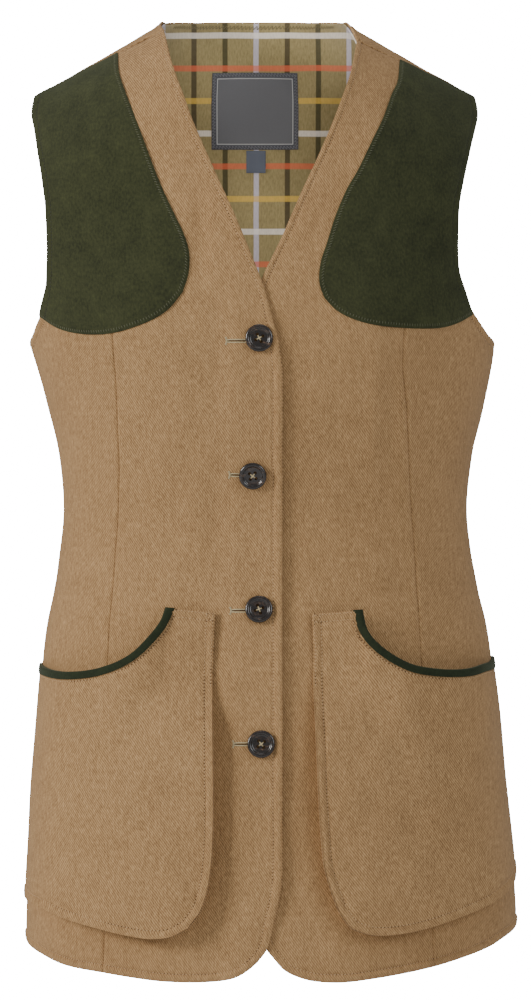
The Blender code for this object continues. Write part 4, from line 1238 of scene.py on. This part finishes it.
class Shade:
    """A material and short ways to add its nodes."""

    def __init__(self, name):
        self.material = bpy.data.materials.new(name)
        self.material.use_nodes = True
        self.tree = self.material.node_tree
        self.surface = self.tree.nodes["Principled BSDF"]
        self.flat = self.add("ShaderNodeUVMap", uv_map="cloth")
        self.u = self.add("ShaderNodeSeparateXYZ", {0: self.flat})
        self.v = self.u.node.outputs[1]

    def add(self, kind, inputs=None, output=0, **settings):
        """A node with its settings and inputs; an input is a number, a colour or another node's output."""
        node = self.tree.nodes.new(kind)
        for key, value in settings.items():
            setattr(node, key, value)
        for key, value in (inputs or {}).items():
            self.feed(node.inputs[key], value)
        return node.outputs[output]

    def feed(self, entry, value):
        """Give an input its number or colour, or another node's output."""
        if isinstance(value, bpy.types.NodeSocket):
            self.tree.links.new(value, entry)
        else:
            entry.default_value = value

    def sum(self, kind, first, second=0.0, third=0.0):
        """One step of arithmetic."""
        return self.add("ShaderNodeMath", {0: first, 1: second, 2: third}, operation=kind)

    def total(self, *parts):
        """Values added up, each with its weight."""
        result = self.sum("MULTIPLY", *parts[0])
        for value, weight in parts[1:]:
            result = self.sum("MULTIPLY_ADD", value, weight, result)
        return result

    def tones(self, value, *marks):
        """A colour for a value, through three colours at their places."""
        ramp = self.add("ShaderNodeValToRGB", {0: value})
        stops = ramp.node.color_ramp.elements
        stops.new(marks[1][0])
        for stop, (place, colour) in zip(stops, marks):
            stop.position, stop.color = place, colour
        return ramp

    def noise(self, size, detail=2.0, roughness=0.5, place=None, stretch=(1, 1, 1)):
        """Soft noise whose lumps are about size metres wide."""
        if place is None:
            place = self.add("ShaderNodeTexCoord", output=3)
        moved = self.add("ShaderNodeMapping", {0: place, 3: stretch})
        return self.add("ShaderNodeTexNoise", {"Vector": moved, "Scale": 1 / size, "Detail": detail,
                                               "Roughness": roughness})

    def mix(self, share, first, second):
        """One colour over another."""
        return self.add("ShaderNodeMix", {0: share, 6: first, 7: second}, 2, data_type="RGBA")

    def wave(self, count):
        """A smooth 0 to 1 ripple for each whole step of count."""
        return self.sum("MULTIPLY_ADD", self.sum("SINE", self.sum("MULTIPLY", count, 2 * math.pi)), 0.5, 0.5)

    def across(self, value, low=0.3, high=0.7, new_low=0.0, new_high=1.0):
        """Carry a range of values to another."""
        return self.add("ShaderNodeMapRange", {0: value, 1: low, 2: high, 3: new_low, 4: new_high})

    def finish(self, colour, height=None, depth=0.1 * MM, strength=1.0, rough=0.9, **settings):
        """Wire colour, bump and roughness, and set the sheet's constants on the shader itself."""
        entries = self.surface.inputs
        self.feed(entries["Base Color"], colour)
        self.feed(entries["Roughness"], rough)
        if height is not None:
            bump = self.add("ShaderNodeBump", {"Strength": strength, "Distance": depth, "Height": height})
            self.feed(entries["Normal"], bump)
        for key, value in settings.items():
            entries[key.replace("_", " ").title().replace("Ior", "IOR")].default_value = value
        return self.material


def twill_material(name, light, middle, dark):
    """Brushed cotton twill: slanting wales of crossed yarns, heathered, a little uneven in tone."""
    s = Shade(name)
    slant = s.sum("ADD", s.sum("DIVIDE", s.u, 1.75 * MM), s.sum("DIVIDE", s.v, 2.4 * MM))
    drift = s.noise(6 * MM, 1.0, place=s.flat)
    slant = s.sum("MULTIPLY_ADD", drift, 0.5, slant)
    wale = s.sum("POWER", s.wave(slant), 0.8)
    yarn = s.wave(s.sum("SUBTRACT", s.sum("DIVIDE", s.u, 1.1 * MM), s.sum("DIVIDE", s.v, 0.8 * MM)))
    heather = s.noise(1.2 * MM, 2.0, 0.6, place=s.flat, stretch=(1, 0.35, 1))
    slub = s.noise(3.5 * MM, 2.0, 0.55, place=s.flat, stretch=(1, 0.25, 1))
    slow = s.noise(60 * MM, 3.0, 0.6)
    share = s.total((yarn, 0.2), (wale, 0.32), (s.across(heather, 0.25, 0.75), 0.32), (s.across(slub), 0.1),
                    (s.across(slow), 0.05))
    colour = s.tones(share, (0.18, dark), (0.55, middle), (0.9, light))
    fuzz = s.noise(0.5 * MM, 2.0, 0.7, place=s.flat)
    height = s.total((yarn, 0.2), (wale, 0.7), (fuzz, 0.5), (slub, 0.5))
    rough = s.across(heather, 0.2, 0.8, 0.85, 0.98)
    return s.finish(colour, height, 0.16 * MM, 0.9, rough, sheen_weight=0.06, sheen_roughness=0.5,
                    sheen_tint=(1.0, 0.93, 0.82, 1.0), specular_ior_level=0.25)


def suede_material(name, light, dark):
    """Suede: brushed nap that lies in soft patches, a few paler rubs and fine grain."""
    s = Shade(name)
    nap = s.noise(1.6 * MM, 3.0, 0.65, place=s.flat, stretch=(1, 0.6, 1))
    brushed = s.noise(11 * MM, 2.0, 0.6, place=s.flat, stretch=(1, 0.7, 1))
    cloud = s.noise(38 * MM, 2.0, 0.5)
    share = s.total((s.across(cloud), 0.18), (s.across(brushed), 0.26), (s.across(nap), 0.6))
    fine = s.noise(0.45 * MM, 3.0, 0.75, place=s.flat)
    height = s.total((nap, 0.7), (fine, 0.7))
    rough = s.across(nap, 0.2, 0.8, 0.86, 0.98)
    return s.finish(s.mix(share, dark, light), height, 0.22 * MM, 0.8, rough,
                    sheen_weight=0.16, sheen_roughness=0.45, sheen_tint=(0.72, 0.78, 0.55, 1.0),
                    specular_ior_level=0.2)


# The check: distance between its lines and their width, across and up, and where it starts.
CHECK_STEP_ACROSS, CHECK_STEP_UP = 22.95 * MM, 24.15 * MM
CHECK_WIDE_ACROSS, CHECK_WIDE_UP = 3.4 * MM, 3.9 * MM
CHECK_START = (1.4 * MM, -69.8 * MM)


def stripes(shade, place, step, wide, colours):
    """Lines of three colours in turn: gives their colour and how much of it shows."""
    turn = shade.sum("FRACT", shade.sum("DIVIDE", place, 3 * step))
    ramp = shade.add("ShaderNodeValToRGB", {0: turn})
    stops = ramp.node.color_ramp.elements
    half, soft = wide / 2 / (3 * step), 0.4 * MM / (3 * step)
    marks = []
    for k, colour in enumerate(colours):
        for away, show in ((-half - soft, 0.0), (-half, 1.0), (half, 1.0), (half + soft, 0.0)):
            marks.append(((k / 3 + away) % 1.0, colour, show))
    marks.sort()
    stops[0].position, stops[1].position = marks[0][0], marks[-1][0]
    for _ in marks[1:-1]:
        stops.new(0.5)
    for stop, (where, colour, show) in zip(stops, marks):
        stop.position = where
        stop.color = colour[:3] + (show,)
    return ramp, ramp.node.outputs[1]


def lining_material(name, ground_light, ground_dark, ups, acrosses):
    """Brushed cotton in a tattersall check of six thread colours."""
    s = Shade(name)
    x = s.sum("SUBTRACT", s.sum("MULTIPLY", s.u, -1.0), CHECK_START[0])
    z = s.sum("SUBTRACT", s.v, CHECK_START[1])
    wander = s.sum("MULTIPLY_ADD", s.noise(40 * MM, 1.0, place=s.flat), 0.8 * MM, -0.4 * MM)
    x, z = s.sum("ADD", x, wander), s.sum("ADD", z, wander)
    heather = s.noise(1.2 * MM, 3.0, 0.65, place=s.flat, stretch=(1, 0.3, 1))
    cloud = s.noise(14 * MM, 2.0, 0.5, place=s.flat)
    ground = s.mix(s.total((cloud, 0.35), (s.across(heather), 0.65)), ground_dark, ground_light)
    up_colour, up_show = stripes(s, x, CHECK_STEP_ACROSS, CHECK_WIDE_ACROSS, ups)
    across_colour, across_show = stripes(s, z, CHECK_STEP_UP, CHECK_WIDE_UP, acrosses)
    warp = s.wave(s.sum("DIVIDE", s.v, 0.85 * MM))
    weft = s.wave(s.sum("DIVIDE", s.u, 0.85 * MM))
    fray = s.across(heather, new_low=0.78)
    up_show = s.sum("MULTIPLY", s.sum("MULTIPLY", up_show, s.across(warp, 0, 1, 0.72, 1.0)), fray)
    across_show = s.sum("MULTIPLY", s.sum("MULTIPLY", across_show, s.across(weft, 0, 1, 0.66, 1.0)), fray)
    colour = s.mix(s.sum("MULTIPLY", up_show, 0.95), ground, up_colour)
    colour = s.mix(s.sum("MULTIPLY", across_show, 0.9), colour, across_colour)
    height = s.total((weft, 0.4), (warp, 0.4), (heather, 0.9))
    return s.finish(colour, height, 0.15 * MM, 0.8, 0.93, sheen_weight=0.2, sheen_roughness=0.5,
                    sheen_tint=(1.0, 0.96, 0.88, 1.0), specular_ior_level=0.2)


def horn_material(name, light, middle, dark):
    """Polished horn: dark, streaked and mottled."""
    s = Shade(name)
    streak = s.noise(2.6 * MM, 3.0, 0.6, place=s.flat, stretch=(0.35, 1, 1))
    mottle = s.noise(1.1 * MM, 2.0, 0.6, place=s.flat)
    share = s.total((s.across(mottle, 0.35, 0.7), 0.3), (s.across(streak, 0.35, 0.65), 0.7))
    colour = s.tones(share, (0.45, dark), (0.78, middle), (1.0, light))
    rough = s.across(mottle, 0.2, 0.8, 0.2, 0.36)
    return s.finish(colour, streak, 0.05 * MM, 0.3, rough, coat_weight=0.45, coat_roughness=0.12,
                    specular_ior_level=0.6)


def thread_material(name, light, dark):
    """Spun thread: fine twist in tone, soft shine."""
    s = Shade(name)
    grain = s.noise(0.5 * MM, 2.0, 0.6)
    slow = s.noise(25 * MM, 1.0, 0.5)
    colour = s.mix(s.total((slow, 0.4), (grain, 0.6)), dark, light)
    return s.finish(colour, grain, 0.05 * MM, 0.5, 0.7, sheen_weight=0.2, specular_ior_level=0.35)


def painted_shade_material(name, colour):
    """Painted shade: a dark grained colour that stands for the shade inside needle holes and buttonhole
    slits.
    """
    s = Shade(name)
    grain = s.noise(0.6 * MM, 2.0, 0.6)
    shade = s.mix(grain, dimmed(colour, 0.6), colour)
    return s.finish(shade, grain, 0.05 * MM, 0.4, 0.95, specular_ior_level=0.1)


def label_material(name, centre, frame, line_colour, box, band, line_at, line_wide):
    """A woven satin label: a coarser frame, a thin pale line round a plain middle."""
    s = Shade(name)
    x0, x1, z0, z1 = box
    far_x = s.sum("SUBTRACT", (x1 - x0) * MM / 2, s.sum("ABSOLUTE", s.u))
    far_z = s.sum("SUBTRACT", (z1 - z0) * MM / 2, s.sum("ABSOLUTE", s.v))
    rim = s.sum("MINIMUM", far_x, far_z)
    in_frame = s.across(rim, band, band + 0.2 * MM, 1.0, 0.0)
    near = s.sum("ABSOLUTE", s.sum("SUBTRACT", rim, line_at))
    in_line = s.across(near, line_wide / 2, line_wide / 2 + 0.15 * MM, 1.0, 0.0)
    rib = s.wave(s.sum("DIVIDE", s.v, 0.45 * MM))
    cross = s.wave(s.sum("DIVIDE", s.u, 0.6 * MM))
    grain = s.noise(0.9 * MM, 2.0, 0.6, place=s.flat, stretch=(0.4, 1, 1))
    worn = s.noise(9 * MM, 2.0, 0.5, place=s.flat)
    base = s.mix(s.total((worn, 0.2), (grain, 0.4), (rib, 0.4)), dimmed(centre, 0.72), centre)
    edge = s.mix(s.total((rib, 0.5), (cross, 0.5)), dimmed(frame, 0.7), frame)
    colour = s.mix(s.sum("MULTIPLY", in_line, 0.8), s.mix(in_frame, base, edge), line_colour)
    height = s.total((cross, 0.3), (rib, 0.5), (in_line, 0.6))
    return s.finish(colour, height, 0.08 * MM, 0.7, 0.55, sheen_weight=0.15, specular_ior_level=0.4)


# Lining, labels and their sewing.
LINING_SIDE = -(CLOTH + LINING_GAP + LINING)


def add_labels(main, tab):
    """Two woven labels on the back lining's inner face; the small one curls a little at its lower end."""
    for name, box, columns, rows, material, curl in (
            ("label_main", LABEL_MAIN, 60, 50, main, 0.0), ("label_size", LABEL_SIZE, 22, 24, tab, 1.0)):
        x0, x1, z0, z1 = box
        xs, zs = np.linspace(x0, x1, columns), np.linspace(z0, z1, rows)
        net = np.array([[spot(x, z) for x in xs] for z in zs])
        across, high = np.meshgrid(np.linspace(-1, 1, columns), np.linspace(0, 1, rows))
        rim = np.minimum(np.minimum(xs - x0, x1 - xs)[None, :], np.minimum(zs - z0, z1 - zs)[:, None])
        drop = 0.4 * MM + 0.25 * MM * ease(rim / 3.5) + lumps(across * 0.03, high * 0.05, 0.12 * MM, start=4)
        drop = drop + curl * (1.1 * MM * (1 - high) ** 2 + 0.5 * MM * across ** 2 * (1 - high))
        outer, inner = out(net, BACK, LINING_SIDE - drop), out(net, BACK, LINING_SIDE - drop - 0.6 * MM)
        flat = np.stack(np.meshgrid((xs - (x0 + x1) / 2) * MM, (zs - (z0 + z1) / 2) * MM), axis=-1)
        item = shell(name + "_cloth", outer.reshape(-1, 3), inner.reshape(-1, 3), quads(rows, columns),
                     flat.reshape(-1, 2), material, 0.5)
        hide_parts(name)


# Light, floor and camera.
WORLD_SOFT, WORLD_SEEN = 0.33, 22.0
FLOOR_RADIUS, FLOOR_HIGH, FLOOR_TURNS = 2.0, -0.95, 96


def add_light(name, place, aim, energy, wide, high, colour):
    """A soft area light that the camera does not see."""
    data = bpy.data.lights.new(name, "AREA")
    data.shape, data.size, data.size_y = "RECTANGLE", wide, high
    data.energy, data.color = energy, colour
    item = new_object(name, data)
    item.location = place
    item.rotation_euler = (Vector(aim) - Vector(place)).to_track_quat("-Z", "Y").to_euler()
    item.visible_camera = False
    return item


def add_stage():
    """A pale floor disc below the hanging vest, a white surround, soft lights and the camera."""
    turns = [2 * math.pi * k / FLOOR_TURNS for k in range(FLOOR_TURNS)]
    rim = [(FLOOR_RADIUS * math.cos(turn), FLOOR_RADIUS * math.sin(turn), FLOOR_HIGH) for turn in turns]
    floor = new_object("studio_floor", new_mesh("studio_floor", rim, [range(FLOOR_TURNS)]))
    s = Shade("pale_floor")
    floor.data.materials.append(s.finish(s.mix(s.noise(0.05, 2.0, 0.5), dimmed(FLOOR, 0.97), FLOOR)))
    world = bpy.context.scene.world or bpy.data.worlds.new("world")
    bpy.context.scene.world = world
    world.use_nodes = True
    tree = world.node_tree
    tree.nodes.clear()
    ray = tree.nodes.new("ShaderNodeLightPath")
    both = tree.nodes.new("ShaderNodeMixShader")
    end = tree.nodes.new("ShaderNodeOutputWorld")
    tree.links.new(ray.outputs["Is Camera Ray"], both.inputs[0])
    for place, strength in ((1, WORLD_SOFT), (2, WORLD_SEEN)):
        node = tree.nodes.new("ShaderNodeBackground")
        node.inputs[0].default_value, node.inputs[1].default_value = WHITE, strength
        tree.links.new(node.outputs[0], both.inputs[place])
    tree.links.new(both.outputs[0], end.inputs[0])
    add_light("key_light", (-2.35, -1.35, 0.45), (0, 0, -0.2), 58.5, 0.9, 0.9, (1.0, 0.985, 0.96))
    add_light("fill_light", (1.7, -1.9, 0.5), (0, 0, -0.15), 21.5, 1.2, 1.2, (0.92, 0.96, 1.0))
    add_light("top_light", (0.1, -0.2, 1.5), (0, 0, -0.1), 6, 1.2, 1.2, (1.0, 1.0, 1.0))
    inside = bpy.data.collections.new("inside_the_neck")
    for name in ("lining_cloth", "label_main_cloth", "label_size_cloth", "label_stitching", "neck_stitching"):
        inside.objects.link(bpy.data.objects[name])
    lamp = add_light("neck_light", (0.0, -1.2, -0.25), (0, 0.08, -0.04), 8, 0.3, 0.3, (1.0, 1.0, 1.0))
    lamp.light_linking.receiver_collection = inside
    data = bpy.data.cameras.new("camera")
    data.lens, data.sensor_width, data.sensor_fit = 150, 36, "AUTO"
    data.clip_end = 60
    camera = new_object("camera", data)
    camera.location = (0.0083, -CAMERA_FAR, CAMERA_HIGH)
    camera.rotation_euler = (math.pi / 2, 0, 0)
    bpy.context.scene.camera = camera


def declare(node):
    """Hide the model part that a sheet stands for."""
    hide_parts(node)


def build():
    """All pieces, from the inside out."""
    tan = twill_material("tan_twill", TAN_LIGHT, TAN_MIDDLE, TAN_DARK)
    green = suede_material("green_suede", SUEDE_LIGHT, SUEDE_DARK)
    trim = suede_material("green_binding", TRIM_LIGHT, TRIM_DARK)
    check = lining_material("check_lining", GROUND_LIGHT, GROUND_DARK, (LAVENDER, BROWN, GREEN),
                            (CREAM, YELLOW, RED))
    horn = horn_material("dark_horn", HORN_LIGHT, HORN_MIDDLE, HORN_DARK)
    threads = {name: thread_material(name + "_thread", *tones) for name, tones in THREADS.items()}
    # Needle holes and buttonhole slits get painted shade: dark materials instead of real depth.
    hole_shade = painted_shade_material("needle_hole_shade", HOLE_SHADE)
    slit_shade = painted_shade_material("slit_shade", SLIT_SHADE)
    main = label_material("charcoal_label", LABEL_CENTRE, LABEL_FRAME, LABEL_LINE, LABEL_MAIN, 3.4 * MM,
                          4.2 * MM, 0.3 * MM)
    tab = label_material("grey_tab", TAB_CENTRE, TAB_CENTRE, TAB_CENTRE, LABEL_SIZE, 1.0 * MM, 1.6 * MM,
                         0.1 * MM)
    fronts = add_fronts(tan)
    for node, item in fronts.items():
        declare(node)
    back = add_back_layer("back_cloth", BACK_COLUMNS, LOW_ROWS, HIGH_ROWS, 0.0, CLOTH,
                          ("back_armhole_right", "back_armhole_left", "back_hem", "back_neck"),
                          (("low_x", "upper"), ("high_x", "upper")), tan)
    declare("back")
    lining = add_back_layer("lining_cloth", 60, np.linspace(0.03, 1, 60), np.linspace(0, 1, 57),
                            -(CLOTH + LINING_GAP), LINING, (), ((), ()), check, lining_uv)
    declare("lining_back")
    shown = list(fronts.values())
    cloth_tree = search_tree(shown)
    for hand in PATCHES:
        item = add_patch(hand, green)
        declare("shoulder_patch_" + hand)
        shown.append(item)
    for hand in POCKETS:
        item, outer = add_pocket(hand, cloth_tree, tan)
        declare("pocket_" + hand)
        shown.append(item)
        item = add_binding(hand, outer, trim)
        declare("pocket_binding_" + hand)
        shown.append(item)
    add_labels(main, tab)
    add_buttons(horn, threads["khaki"])
    front_tree, back_tree = search_tree(shown), search_tree([back])
    bare_tree = search_tree([item for item in shown if "binding" not in item.name])
    add_topstitching((front_tree, back_tree, bare_tree), threads["tan"], threads["dark_green"], hole_shade)
    add_patch_sewing(front_tree, threads["green"])
    add_buttonholes(front_tree, threads["khaki"], slit_shade)
    label_tree = search_tree([bpy.data.objects["label_main_cloth"]])
    add_label_sewing(search_tree([lining]), label_tree, threads["charcoal"], threads["olive"])


def add_patch_sewing(tree, thread):
    """Close to-and-fro stitches along the inner and lower edges of both patches."""
    all_of = []
    for lower, inner, _, _, turn in PATCHES.values():
        parts = zigzag(path([lower, inner], FRONT), FRONT, turn, tree, 1.5 * MM, 3.3 * MM, 2.1 * MM)
        all_of.append([part[:len(part) // 2 + 1] for part in parts])
    places, ways, ups, lengths = (np.concatenate([part[k] for part in all_of]) for k in range(4))
    stitches("patch_stitching", places, ways, ups, lengths * 1.05, THREAD, thread)


def add_label_sewing(lining_tree, label_tree, thread, neck_thread):
    """To-and-fro stitches round the main label and along the lining's neck."""
    x0, x1, z0, z1 = LABEL_MAIN
    corners = [(x0, z0), (x1, z0), (x1, z1), (x0, z1), (x0, z0)]
    all_of = [zigzag(path([ends], BACK), BACK, -1, label_tree, 0.4 * MM, 3.0 * MM, PITCH, -1)
              for ends in zip(corners[:-1], corners[1:])]
    places, ways, ups, lengths = (np.concatenate([part[k] for part in all_of]) for k in range(4))
    stitches("label_stitching", places, ways, ups, lengths * 1.05, THREAD, thread)
    pairs = EDGES["back_neck"][0]
    pairs = pairs[np.abs(on_form(pairs, BACK)[:, 0]) < 60 * MM]
    places, ways, ups, lengths = zigzag(pairs, BACK, 1, lining_tree, 1.6 * MM, 5.2 * MM, 3.0 * MM, -1)
    stitches("neck_stitching", places, ways, ups, lengths, THREAD, neck_thread)


build()
add_stage()
